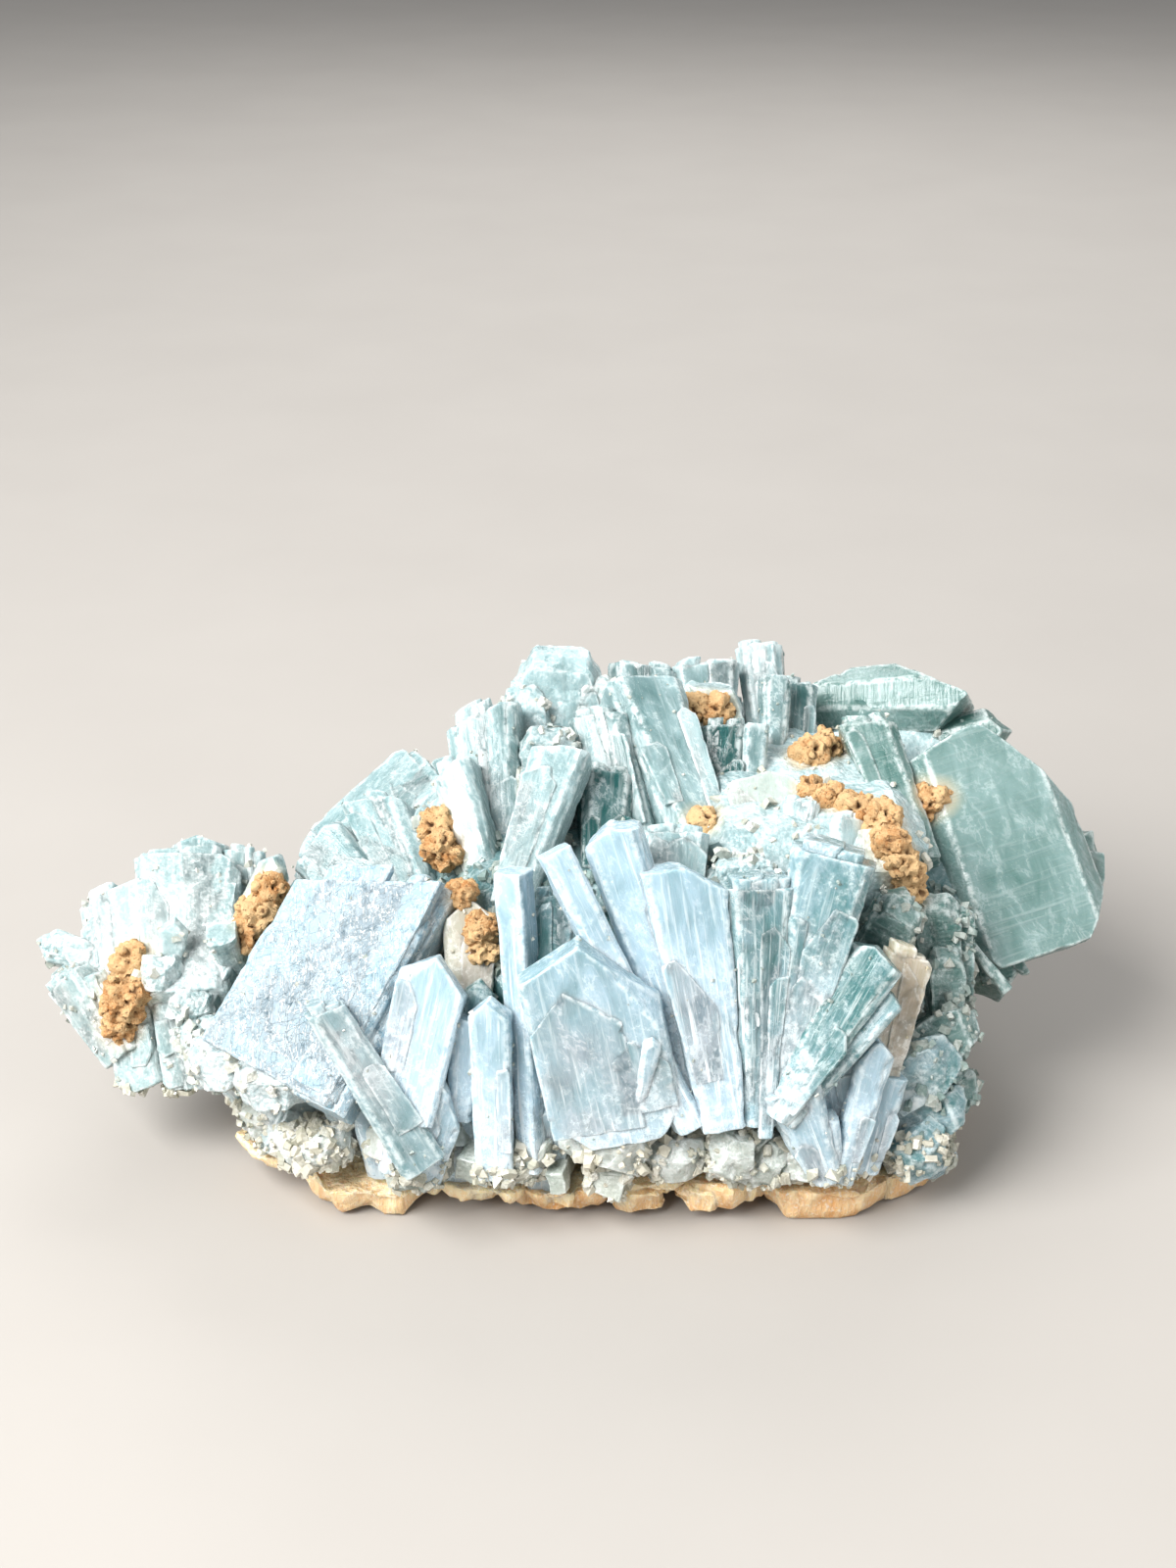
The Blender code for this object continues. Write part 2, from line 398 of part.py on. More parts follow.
def mass_block(low, high, corner):
    """Make one block of the mass, a box with all its corners and upper edges cut off."""
    size = Vector(high) - Vector(low)
    bm = box(size.x, size.y, low[2], high[2])
    for x_side in (-1, 1):
        shave(bm, (x_side, 0, 1), corner * 0.7)
        shave(bm, (0, x_side, 1), corner * 0.7)
        for y_side in (-1, 1):
            shave(bm, (x_side, y_side, 0), corner)
            shave(bm, (x_side, y_side, -0.8), corner * 0.6)
    middle = (Vector(low) + Vector(high)) / 2 * MM
    bmesh.ops.translate(bm, vec=(middle.x, middle.y, 0), verts=bm.verts)
    return bm


def foot_line(angle):
    """Point of the line that the crystals' feet follow, for an angle from +X."""
    power = 2 / FOOT_SQUARENESS
    across, along = math.cos(angle), math.sin(angle)
    x = math.copysign(abs(across) ** power, across) * FOOT_RADII[0]
    y = math.copysign(abs(along) ** power, along) * FOOT_RADII[1]
    return FOOT_CENTRE + Vector((x, y, 0))


def fringe(count, low, high, seed):
    """Scatter small crystals outward along the foot line, between two heights."""
    draw = random.Random(seed)
    crystals = []
    for number in range(count):
        angle = 2 * math.pi * (number + draw.uniform(-0.3, 0.3)) / count
        edge = foot_line(angle)
        outward = (edge - FOOT_CENTRE).normalized()
        foot = edge - outward * FRINGE_INSET
        foot.z = draw.uniform(low, high)
        aim = outward + Vector((draw.uniform(-0.4, 0.4), draw.uniform(-0.4, 0.4), draw.uniform(-0.1, 0.5)))
        tip = foot + aim.normalized() * draw.uniform(7, 11)
        faces = Vector((draw.uniform(-0.6, 0.6), draw.uniform(-0.6, 0.6), 1))
        crystals.append(Crystal(f"fringe_{seed}_{number}", tuple(foot), tuple(tip), tuple(faces),
                                draw.uniform(6, 10), draw.uniform(4, 6),
                                draw.choice((End.ROOF, End.WEDGE, End.FLAT)), bevel=0, chips=0))
    return crystals


def all_crystals():
    """List every crystal of the specimen."""
    named = LEFT_LOBE + LEFT_PLATE + LEFT_SLOPE + TOP_ROW + SHELF + RIGHT_BLADES + FRONT_FAN + BACK
    crystals = list(named)
    for crystal in named:
        crystals += side_crystals(crystal)
    return crystals + fringe(16, 5, 8.5, 3)


def crust_lump(middle, half_widths, low, high, sides, foot, turn, grow):
    """Make one lump of the crust: a short drum, wider at the top than at its underside."""
    bm = bmesh.new()
    bmesh.ops.create_cone(bm, cap_ends=True, segments=sides, radius1=foot, radius2=1.0, depth=1.0)
    bmesh.ops.rotate(bm, cent=(0, 0, 0), matrix=Matrix.Rotation(turn, 3, "Z"), verts=bm.verts)
    wide = grow * 1.5
    size = ((half_widths[0] + wide) * MM, (half_widths[1] + wide) * MM, (high - low + grow * 2) * MM)
    bmesh.ops.scale(bm, vec=size, verts=bm.verts)
    bmesh.ops.translate(bm, vec=(middle[0] * MM, middle[1] * MM, (low + high) / 2 * MM), verts=bm.verts)
    return bm


def crust_lumps(grow=0.0):
    """List the crust's lumps as bmeshes, each grown by a clearance where it serves as a cutter."""
    draw = random.Random(5)
    lumps = [crust_lump(*CRUST_SLAB, CRUST_TOP, SLAB_SIDES, SLAB_FOOT, 0.1, grow)]
    for middle, half_widths, low in CRUST_LUMPS:
        high = CRUST_TOP + draw.choice(LUMP_HEIGHTS)
        turn = draw.uniform(0, 1)
        lumps.append(crust_lump(middle, half_widths, low, high, LUMP_SIDES, LUMP_FOOT, turn, grow))
    return lumps


def clay_lump(middle, radius, seed, grow=0.0):
    """Make one crumbly lump of clay, a ball whose surface wanders in and out."""
    draw = random.Random(seed)
    bm = bmesh.new()
    bmesh.ops.create_icosphere(bm, subdivisions=2 if radius > SMALL_LUMP else 1, radius=1.0)
    for vert in bm.verts:
        reach = radius * (1 + draw.uniform(-CLAY_ROUGHNESS, CLAY_ROUGHNESS)) + grow
        vert.co *= reach * MM
    bmesh.ops.translate(bm, vec=Vector(middle) * MM, verts=bm.verts)
    return bm


def boolean(item, operation, operand):
    """Apply a Boolean with a collection to an object, in place."""
    modifier = item.modifiers.new("boolean", "BOOLEAN")
    modifier.operation = operation
    modifier.solver = "EXACT"
    modifier.operand_type = "COLLECTION"
    modifier.collection = operand
    bpy.context.view_layer.update()
    evaluated = item.evaluated_get(bpy.context.evaluated_depsgraph_get())
    mesh = bpy.data.meshes.new_from_object(evaluated)
    item.modifiers.remove(modifier)
    item.data = mesh


def outer_shell(bm):
    """Delete everything but the largest connected body: crumbs and sealed hollows go."""
    left = set(bm.verts)
    shells = []
    while left:
        shell, edge = set(), [left.pop()]
        while edge:
            vert = edge.pop()
            shell.add(vert)
            for link in vert.link_edges:
                other = link.other_vert(vert)
                if other in left:
                    left.discard(other)
                    edge.append(other)
        shells.append(shell)
    shells.sort(key=len)
    crumbs = [vert for shell in shells[:-1] for vert in shell]
    bmesh.ops.delete(bm, geom=crumbs, context="VERTS")


def neighbours(vert):
    """Give the points that share an edge with one point."""
    return {link.other_vert(vert) for link in vert.link_edges}


def draw_together(bm):
    """Merge the ends of each edge shorter than MERGE wherever that leaves the surface closed."""
    short = [edge for edge in bm.edges if edge.calc_length() < MERGE]
    for edge in sorted(short, key=lambda item: item.calc_length()):
        if edge.is_valid:
            start, end = edge.verts
            if len(neighbours(start) & neighbours(end)) == 2:
                bmesh.ops.pointmerge(bm, verts=[start, end], merge_co=start.co)


def turn_thin_triangles(bm):
    """Turn the long edge of each triangle that is thinner than SLIVER, so that its neighbour shares it."""
    for face in bm.faces[:]:
        if face.is_valid:
            longest = max(face.edges, key=lambda item: item.calc_length())
            if face.calc_area() * 2 < SLIVER * longest.calc_length():
                bmesh.ops.rotate_edges(bm, edges=[longest])


def join_flat_faces(bm):
    """Give a copy with each flat area cut into as few triangles as leave the surface closed."""
    for ngon_method in ("EAR_CLIP", "BEAUTY"):
        trial = bm.copy()
        bmesh.ops.dissolve_limit(trial, angle_limit=FLAT_ANGLE, verts=trial.verts, edges=trial.edges)
        bmesh.ops.triangulate(trial, faces=trial.faces, ngon_method=ngon_method)
        turn_thin_triangles(trial)
        if all(len(edge.link_faces) == 2 for edge in trial.edges):
            return trial
        trial.free()
    return bm.copy()


def finish_body(item):
    """Leave an object one closed body of triangles, with flat faces as large as they can be."""
    bm = bmesh.new()
    bm.from_mesh(item.data)
    bmesh.ops.triangulate(bm, faces=bm.faces)
    bmesh.ops.remove_doubles(bm, verts=bm.verts, dist=CUT_MARGIN)
    outer_shell(bm)
    draw_together(bm)
    flat = join_flat_faces(bm)
    bmesh.ops.recalc_face_normals(flat, faces=flat.faces)
    flat.to_mesh(item.data)
    bm.free()
    flat.free()


def union(name, bodies, collection):
    """Join closed bodies into one object of a collection."""
    operand = new_collection(name + "_bodies")
    first, *others = [new_object(f"{name}_{number}", bm, operand) for number, bm in enumerate(bodies)]
    operand.objects.unlink(first)
    collection.objects.link(first)
    first.name = name
    if others:
        boolean(first, "UNION", operand)
    for item in others:
        bpy.data.objects.remove(item, do_unlink=True)
    bpy.data.collections.remove(operand)
    return first


def dress(item, name, colour, roughness):
    """Give an object its own material."""
    material = bpy.data.materials.new(name)
    material.use_nodes = True
    shader = material.node_tree.nodes["Principled BSDF"]
    shader.inputs["Base Color"].default_value = (*colour, 1.0)
    shader.inputs["Roughness"].default_value = roughness
    shader.inputs["Metallic"].default_value = 0.0
    item.data.materials.clear()
    item.data.materials.append(material)


def stand_on_origin(items):
    """Move the pieces together so that the origin lies below the middle of their box, at its foot."""
    corners = [vert.co for item in items if not item.hide_render for vert in item.data.vertices]
    low = Vector([min(corner[axis] for corner in corners) for axis in range(3)])
    high = Vector([max(corner[axis] for corner in corners) for axis in range(3)])
    shift = Matrix.Translation((-(low.x + high.x) / 2, -(low.y + high.y) / 2, -low.z))
    for item in items:
        item.data.transform(shift)


def make_cutters():
    """Make the tools that leave room in the crystals for the crust and the clay."""
    cutters = new_collection("cutters")
    tools = [("crust_room", bm) for bm in crust_lumps(GAP)]
    for name, lumps in CLAY.items():
        tools += [(name + "_room", clay_lump(middle, radius, f"{name} {number}", GAP * CLAY_CLEARANCE))
                  for number, (middle, radius) in enumerate(lumps)]
    for name, bm in tools:
        tool = new_object(name, bm, cutters)
        tool.hide_render = True
        tool.display_type = "WIRE"
    return cutters


def main():
    """Build the specimen."""
    clear_scene()
    specimen = new_collection("blue_barite")
    bodies = [mass_block(low, high, corner) for low, high, corner in MASS]
    bodies += [crystal_mesh(crystal) for crystal in all_crystals()]
    cluster = union("barite_cluster", bodies, specimen)
    cutters = make_cutters()
    boolean(cluster, "DIFFERENCE", cutters)
    finish_body(cluster)
    dress(cluster, "barite", BLUE, 0.35)

    crust = union("crust_base", crust_lumps(), specimen)
    finish_body(crust)
    dress(crust, "honey_crust", HONEY, 0.5)

    for name, lumps in CLAY.items():
        clay = union(name, [clay_lump(middle, radius, f"{name} {number}")
                            for number, (middle, radius) in enumerate(lumps)], specimen)
        finish_body(clay)
        dress(clay, name, OCHRE, 0.9)

    stand_on_origin([*specimen.objects, *cutters.objects])


main()
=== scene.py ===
"""Blue barite specimen: the visual model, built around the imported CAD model.

Every group of crystals is one piece. Its crystals are cut by the planes of their faces, as the CAD
solids are, and then get laths, growth terraces, chipped edges and a cover of small crystals. The
tables are in millimetres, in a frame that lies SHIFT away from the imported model's.
"""

import json
import logging
import math
import random
from collections.abc import Sequence
from dataclasses import dataclass, field, replace
from enum import Enum

import bmesh
import bpy
import numpy as np
from mathutils import Euler, Matrix, Vector, noise

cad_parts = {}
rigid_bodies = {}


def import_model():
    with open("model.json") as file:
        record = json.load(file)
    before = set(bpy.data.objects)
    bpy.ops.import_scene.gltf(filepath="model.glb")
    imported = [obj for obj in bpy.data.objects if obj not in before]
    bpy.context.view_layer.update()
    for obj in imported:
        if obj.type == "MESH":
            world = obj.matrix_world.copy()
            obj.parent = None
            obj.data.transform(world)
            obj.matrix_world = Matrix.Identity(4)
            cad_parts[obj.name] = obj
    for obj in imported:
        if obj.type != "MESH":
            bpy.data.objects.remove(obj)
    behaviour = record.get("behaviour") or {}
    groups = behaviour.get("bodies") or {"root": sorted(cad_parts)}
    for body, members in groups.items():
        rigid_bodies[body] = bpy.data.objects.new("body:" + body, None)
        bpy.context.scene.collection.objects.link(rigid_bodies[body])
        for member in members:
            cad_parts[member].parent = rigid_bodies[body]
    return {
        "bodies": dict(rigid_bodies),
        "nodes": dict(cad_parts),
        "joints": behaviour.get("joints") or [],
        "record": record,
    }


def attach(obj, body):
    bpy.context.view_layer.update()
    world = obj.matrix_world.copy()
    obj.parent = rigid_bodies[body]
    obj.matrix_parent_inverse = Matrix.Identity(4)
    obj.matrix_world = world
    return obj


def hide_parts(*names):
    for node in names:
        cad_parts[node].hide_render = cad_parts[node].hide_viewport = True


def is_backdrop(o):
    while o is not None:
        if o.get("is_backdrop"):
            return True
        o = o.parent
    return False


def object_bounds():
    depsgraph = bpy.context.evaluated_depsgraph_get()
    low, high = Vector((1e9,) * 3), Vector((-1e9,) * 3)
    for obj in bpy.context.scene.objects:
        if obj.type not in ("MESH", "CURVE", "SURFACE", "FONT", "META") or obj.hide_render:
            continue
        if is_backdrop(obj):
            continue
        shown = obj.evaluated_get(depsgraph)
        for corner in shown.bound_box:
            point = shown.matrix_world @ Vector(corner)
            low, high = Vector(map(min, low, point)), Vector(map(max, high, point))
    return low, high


LOG = logging.getLogger("blue_barite")
MM = 0.001
SHIFT = Vector((-0.654, 3.615, 0.0))

Body = bmesh.types.BMesh
Colour = tuple[float, float, float, float]
Triple = tuple[float, float, float]
Span = tuple[float, float]                # lowest and highest value
Waves = tuple[tuple[float, float], ...]   # for each wave of noise, its frequency and its height

OVERSIZE = 1.2             # how much wider than the crystal the box is that it is cut from
END_STOCK = 1.5            # length left above the tip for the end faces to cut, in crystal widths
LEAST_FACE_TAPER = 0.8     # a broad crystal narrows, but it hardly gets thinner
CHIP_DEPTH = (0.05, 0.14)  # range, in crystal widths
CHIP_AIM = ((0.4, 1), (-1, 1), (0.2, 1))   # ranges of the way a chip looks: sideways, inward, up
SHARP_ANGLE = math.radians(24)
SPLIT_PASSES = 6
CUT_MERGE = 1e-4           # points this near to a cutting plane lie on it
SHORTEST_EDGE = 0.3        # points closer than this are merged before the edges are bevelled
COARSE = 3.6               # longest edge while the hidden faces are taken away
BURIED = 0.9               # how deep inside another body a hidden face lies
ON_SURFACE = 0.2           # a point this near to a body's surface lies on it
STAIN_REACH = 2.0          # how far from the clay the crystals are stained
FAR_OFFSET = 400.0         # how far apart the grain of two crystals may lie, so that no two match


def srgb(red: int, green: int, blue: int) -> Colour:
    """Give a colour from its 0 to 255 screen values, in linear light."""
    return tuple(((value / 255 + 0.055) / 1.055) ** 2.4 for value in (red, green, blue)) + (1.0,)


def ripple(spot: Vector, waves: Waves) -> float:
    """Add up waves of noise at a place."""
    return sum(noise.noise(spot * frequency) * height for frequency, height in waves)


def held(value: float, span: Span) -> float:
    """Keep a number within a range."""
    return max(min(value, span[1]), span[0])


def box(width: float, depth: float, low: float, high: float) -> Body:
    """Make a box centred on the Z axis.

    Args:
        width: its size along X.
        depth: its size along Y.
        low: the height of its underside.
        high: the height of its top.

    Returns:
        The box.
    """
    bm = bmesh.new()
    bmesh.ops.create_cube(bm, size=1.0)
    bmesh.ops.scale(bm, vec=(width, depth, high - low), verts=bm.verts)
    bmesh.ops.translate(bm, vec=(0, 0, (low + high) / 2), verts=bm.verts)
    return bm


def cut(bm: Body, point: Vector, normal: Sequence[float]) -> None:
    """Slice off what lies beyond a plane and close the cut.

    Args:
        bm: the body.
        point: any point of the plane.
        normal: the plane's normal, towards what is cut off.
    """
    everything = bm.verts[:] + bm.edges[:] + bm.faces[:]
    result = bmesh.ops.bisect_plane(bm, geom=everything, dist=CUT_MERGE, plane_co=point, plane_no=normal,
                                    clear_outer=True)
    rim = [item for item in result["geom_cut"] if isinstance(item, bmesh.types.BMEdge)]
    if rim:
        bmesh.ops.holes_fill(bm, edges=rim, sides=0)


def shave(bm: Body, normal: Sequence[float], depth: float) -> None:
    """Take a corner off.

    Args:
        bm: the body.
        normal: the direction of the corner.
        depth: how far in from the furthest point in that direction the cut lies.
    """
    direction = Vector(normal).normalized()
    furthest = max(direction.dot(vert.co) for vert in bm.verts)
    cut(bm, direction * (furthest - depth), direction)


def bevel_edges(bm: Body, offset: float, segments: int = 1) -> None:
    """Bevel every edge of a body.

    Args:
        bm: the body.
        offset: the width taken off each side of an edge.
        segments: how many faces round the edge.
    """
    bmesh.ops.bevel(bm, geom=bm.edges[:], offset=offset, offset_type="OFFSET", segments=segments,
                    profile=0.5, affect="EDGES", clamp_overlap=True)


def split_edges(bm: Body, limit: float) -> None:
    """Turn a body into small triangles.

    Args:
        bm: the body.
        limit: the longest edge that is left as it is.
    """
    bmesh.ops.triangulate(bm, faces=bm.faces)
    for _ in range(SPLIT_PASSES):
        long_edges = [edge for edge in bm.edges if edge.calc_length() > limit]
        if not long_edges:
            return
        bmesh.ops.subdivide_edges(bm, edges=long_edges, cuts=1)
        bmesh.ops.triangulate(bm, faces=[face for face in bm.faces if len(face.verts) > 3])


def arrays(bm: Body) -> tuple[np.ndarray, np.ndarray, np.ndarray]:
    """Turn a body into arrays, and free it.

    Args:
        bm: the body, made of triangles.

    Returns:
        Its points, their normals, and three point numbers for each triangle.
    """
    bm.verts.index_update()
    bm.normal_update()
    points = np.array([vert.co[:] for vert in bm.verts])
    normals = np.array([vert.normal[:] for vert in bm.verts])
    triangles = np.array([[vert.index for vert in face.verts] for face in bm.faces])
    bm.free()
    return points, normals, triangles


def planes_of(bm: Body) -> tuple[np.ndarray, np.ndarray]:
    """Give the planes of a convex body's faces.

    Args:
        bm: the body.

    Returns:
        The outward normals, and how far out along each the plane lies.
    """
    bmesh.ops.recalc_face_normals(bm, faces=bm.faces)
    normals = np.array([face.normal[:] for face in bm.faces])
    offsets = np.array([face.normal.dot(face.verts[0].co) for face in bm.faces])
    return normals, offsets


def filled(count: int, *values: float | np.ndarray) -> np.ndarray:
    """Put numbers side by side in columns, each number repeated down its whole column."""
    return np.column_stack([np.broadcast_to(value, count) for value in values])


class End(Enum):
    """Shape of a crystal's free end, as the sideways tilts of its faces.

    The faces meet at the tip, except those of a dome, which touch a rounded cap.
    """
    FLAT = ((0.0, 0.0),)
    WEDGE = ((0.0, 0.9), (0.0, -0.9))
    ROOF = ((0.8, 0.0), (-0.8, 0.0))
    LOW_ROOF = ((0.35, 0.0), (-0.35, 0.0))
    POINT = ((0.9, 0.5), (-0.9, 0.5), (0.9, -0.5), (-0.9, -0.5))
    DOME = ((0.1, 0.2), (0.9, 0.4), (-0.8, 0.5), (0.1, -0.9), (2.8, -1.0), (-2.8, -0.8))


@dataclass(frozen=True)
class Look:
    """How a crystal is coloured and what has grown on it."""
    tint: float = 0.6         # from 0, deep teal, to 1, pale blue
    frost: float = 0.3        # how far white, matt frost covers it
    fibre: float = 0.4        # strength of the streaks along it
    cream: float = 0.0        # share of cream colour
    laths: int = 2            # parallel crystals that make its end stepped
    terraces: int = 2         # thin plates grown on its broad face
    druse: float = 0.03       # small crystals on a square millimetre
    grains: Span = (0.3, 0.8)   # their size

    def rounded(self) -> "Look":
        """Give the look of a rounded crystal: more frost, under a close cover of small crystals."""
        return replace(self, frost=min(1.0, self.frost + 0.25), druse=0.25, grains=(0.6, 2.0))


@dataclass(frozen=True)
class SideSizes:
    """Sizes of the crystals grown along another's sides, as shares of its own sizes."""
    out: Span = (0.28, 0.5)       # across from its middle
    inward: Span = (-0.35, 0.45)  # through from its middle
    drop: Span = (0.12, 0.4)      # how much lower they end
    lean: Span = (0.6, 1.2)       # share of its splay
    width: Span = (0.35, 0.6)
    thick: Span = (0.6, 0.9)
    slant: Span = (-14, 14)       # degrees more


@dataclass(frozen=True)
class LathSizes:
    """Sizes of the laths that a crystal is split into, as shares of its own sizes."""
    drop: float = 0.07            # how much shorter the body between them is
    most_drop: float = 1.7        # millimetres
    width: Span = (0.3, 0.5)
    place: Span = (0.3, 0.7)      # place in its own strip of the width
    inward: Span = (-0.12, 0.12)  # place through the thickness
    foot: float = 0.1             # where it starts, along the length
    least_rise: float = 0.01      # above the body's end, along the length
    thick: Span = (0.86, 0.98)
    slant: Span = (-5, 5)         # degrees more
    bevel: float = 0.6


@dataclass(frozen=True)
class TerraceSizes:
    """Sizes of the thin plates on a crystal's broad face, as shares of its own sizes."""
    width: Span = (0.25, 0.7)
    reach: float = 0.97           # how near to the crystal's side they end
    start: Span = (-0.05, 0.2)
    stop: Span = (0.5, 0.92)
    proud: Span = (0.1, 0.32)     # millimetres above the face
    thick: Span = (1.0, 1.6)      # millimetres
    slant: Span = (-16, 16)       # degrees more
    trim_rise: Span = (0.3, 1.1)  # steepness of the corner cut off
    trim: Span = (0.15, 0.4)      # its depth, in the plate's widths


SIDE = SideSizes()
LATH = LathSizes()
TERRACE = TerraceSizes()


@dataclass(frozen=True)
class Crystal:
    """One crystal: where it stands, where it points and which way its broad face looks."""
    name: str
    foot: Triple
    tip: Triple
    faces: Triple
    width: float
    thick: float
    end: End = End.FLAT
    slant: float = 0.0       # tilt of the end: above 0, its right side is the lower one
    taper: float = 0.75      # the foot's share of the tip's width
    bevel: float = 0.18      # share of the thickness taken off the long edges
    steps: int = 0           # thinner crystals grown along its sides
    splay: float = 0.0       # degrees that those lean away from it
    chips: int = 1           # corners broken or grown off
    root: float = 3.0        # length below the foot, inside the mass
    trims: tuple = ()        # corners cut off: (right, inward, up, depth)

    @property
    def length(self) -> float:
        """Give the length from foot to tip."""
        return (Vector(self.tip) - Vector(self.foot)).length

    def frame(self) -> Matrix:
        """Find the crystal's place.

        Returns:
            The matrix that stands the crystal, built up the Z axis, in its place.
        """
        foot, tip = Vector(self.foot), Vector(self.tip)
        axis = (tip - foot).normalized()
        right = axis.cross(Vector(self.faces)).normalized()
        turn = Matrix((right, axis.cross(right), axis)).transposed().to_4x4()
        return Matrix.Translation(foot) @ turn

    def body(self) -> Body:
        """Cut the crystal out of a box by the planes of its faces.

        Returns:
            The crystal up the Z axis, with its foot at the origin.
        """
        length, half_width, half_thick = self.length, self.width / 2, self.thick / 2
        widest = max(1.0, self.taper) * OVERSIZE
        bm = box(self.width * widest, self.thick * widest, -self.root, length + self.width * END_STOCK)
        side_slope = half_width * (1 - self.taper) / length
        face_slope = half_thick * (1 - max(self.taper, LEAST_FACE_TAPER)) / length
        top = Vector((0, 0, length))
        for side in (-1, 1):
            cut(bm, top + Vector((side * half_width, 0, 0)), (side, 0, -side_slope))
            cut(bm, top + Vector((0, side * half_thick, 0)), (0, side, -face_slope))
        bevel = self.bevel * self.thick
        if bevel > 0 and self.end is not End.DOME:
            for side in (-1, 1):
                edge = Vector((side * (half_width - bevel), -half_thick, 0))
                cut(bm, top + edge, (side, -1, -side_slope - face_slope))
        self.cut_end(bm)
        draw = random.Random(self.name)
        sideways, inwards, upwards = CHIP_AIM
        for _ in range(self.chips):
            direction = (draw.choice((-1, 1)) * draw.uniform(*sideways), draw.uniform(*inwards),
                         draw.uniform(*upwards))
            shave(bm, direction, draw.uniform(*CHIP_DEPTH) * self.width)
        for right, inward, up, depth in self.trims:
            shave(bm, (right, inward, up), depth)
        return bm

    def cut_end(self, bm: Body) -> None:
        """Cut the faces of the free end.

        Args:
            bm: the crystal up the Z axis.
        """
        lean = math.tan(math.radians(self.slant))
        top = Vector((0, 0, self.length))
        cap = Vector((self.width / 2, self.thick / 2, min(self.width / 2, self.length * 0.5)))
        for across, along in self.end.value:
            normal = Vector((across + lean, along, 1))
            touch = top
            if self.end is End.DOME:
                reach = Vector((normal.x * cap.x, normal.y * cap.y, normal.z * cap.z)).length
                touch = top - Vector((0, 0, cap.z)) + normal * reach / normal.length_squared
            cut(bm, touch, normal)

    def inside(self, across: float, inward: float, share: float) -> Vector:
        """Find a point of the crystal.

        Args:
            across: place across the width, from -1 to 1.
            inward: place through the thickness, from -1, the broad face, to 1.
            share: place along the length, from 0, the foot, to 1.

        Returns:
            The point, in the tables' frame.
        """
        broad = self.taper + (1 - self.taper) * share
        deep = max(self.taper, LEAST_FACE_TAPER)
        deep += (1 - deep) * share
        return self.frame() @ Vector((across * broad * self.width / 2, inward * deep * self.thick / 2,
                                      share * self.length))

    def side_crystals(self) -> list["Crystal"]:
        """List the thinner crystals grown along the crystal's sides.

        Returns:
            As many as the crystal has steps.
        """
        draw = random.Random(self.name + " steps")
        frame, foot, length = self.frame().to_3x3(), Vector(self.foot), self.length
        found = []
        for number in range(self.steps):
            side = 1 if number % 2 == 0 else -1
            shift = frame @ Vector((side * draw.uniform(*SIDE.out) * self.width,
                                    draw.uniform(*SIDE.inward) * self.thick, 0))
            drop = draw.uniform(*SIDE.drop) * length
            angle = math.radians(self.splay * draw.uniform(*SIDE.lean)) * side
            aim = frame @ Vector((math.sin(angle), 0, math.cos(angle)))
            start = foot + shift * self.taper
            found.append(replace(
                self, name=f"{self.name}_{number}", foot=tuple(start),
                tip=tuple(start + shift * (1 - self.taper) + aim * (length - drop)),
                width=self.width * draw.uniform(*SIDE.width), thick=self.thick * draw.uniform(*SIDE.thick),
                slant=self.slant + draw.uniform(*SIDE.slant), steps=0, chips=1, trims=()))
        return found

    def laths(self, count: int) -> list["Crystal"]:
        """Split the crystal into one shorter body and parallel laths that reach its end.

        Args:
            count: how many laths.

        Returns:
            The body first, then the laths.
        """
        draw = random.Random(self.name + " laths")
        low = 1 - min(LATH.most_drop, self.length * LATH.drop) / self.length
        parts = [replace(self, tip=tuple(self.inside(0, 0, low)))]
        for number in range(count):
            share = draw.uniform(*LATH.width)
            across = (1 - share) * (2 * (number + draw.uniform(*LATH.place)) / count - 1)
            inward = draw.uniform(*LATH.inward)
            high = draw.uniform(low + LATH.least_rise, 1.0) if number else 1.0
            parts.append(replace(
                self, name=f"{self.name}_lath_{number}", foot=tuple(self.inside(across, inward, LATH.foot)),
                tip=tuple(self.inside(across, inward, high)), width=self.width * share,
                thick=self.thick * draw.uniform(*LATH.thick), slant=self.slant + draw.uniform(*LATH.slant),
                bevel=self.bevel * LATH.bevel, steps=0, chips=1, trims=()))
        return parts

    def terraces(self, count: int) -> list["Crystal"]:
        """List thin plates grown on the broad face, a little proud of it.

        Args:
            count: how many.

        Returns:
            The plates, each with one corner cut off.
        """
        draw = random.Random(self.name + " terraces")
        found = []
        for number in range(count):
            share = draw.uniform(*TERRACE.width)
            across = draw.choice((-1, 1)) * (TERRACE.reach - share)
            start, stop = draw.uniform(*TERRACE.start), draw.uniform(*TERRACE.stop)
            proud = draw.uniform(*TERRACE.proud) / (self.thick / 2)
            thick = draw.uniform(*TERRACE.thick)
            inward = -1 - proud + thick / self.thick
            found.append(replace(
                self, name=f"{self.name}_terrace_{number}", foot=tuple(self.inside(across, inward, start)),
                tip=tuple(self.inside(across, inward, stop)), width=self.width * share, thick=thick,
                end=draw.choice((End.FLAT, End.LOW_ROOF)), slant=self.slant + draw.uniform(*TERRACE.slant),
                bevel=0.0, steps=0, chips=2, root=0.0,
                trims=((draw.choice((-1, 1)), 0, draw.uniform(*TERRACE.trim_rise),
                        self.width * share * draw.uniform(*TERRACE.trim)),)))
        return found


ROOF, LOW_ROOF, POINT, DOME = End.ROOF, End.LOW_ROOF, End.POINT, End.DOME

FOOT_CENTRE = Vector((4.0, -5.0, 0.0))
FOOT_RADII = (55.0, 48.0)        # half width and half depth of the crystals' foot line
FOOT_SQUARENESS = 2.7            # 2 would be an ellipse, more is boxier
FRINGE_INSET = 8.0               # how far inside the foot line the small crystals start

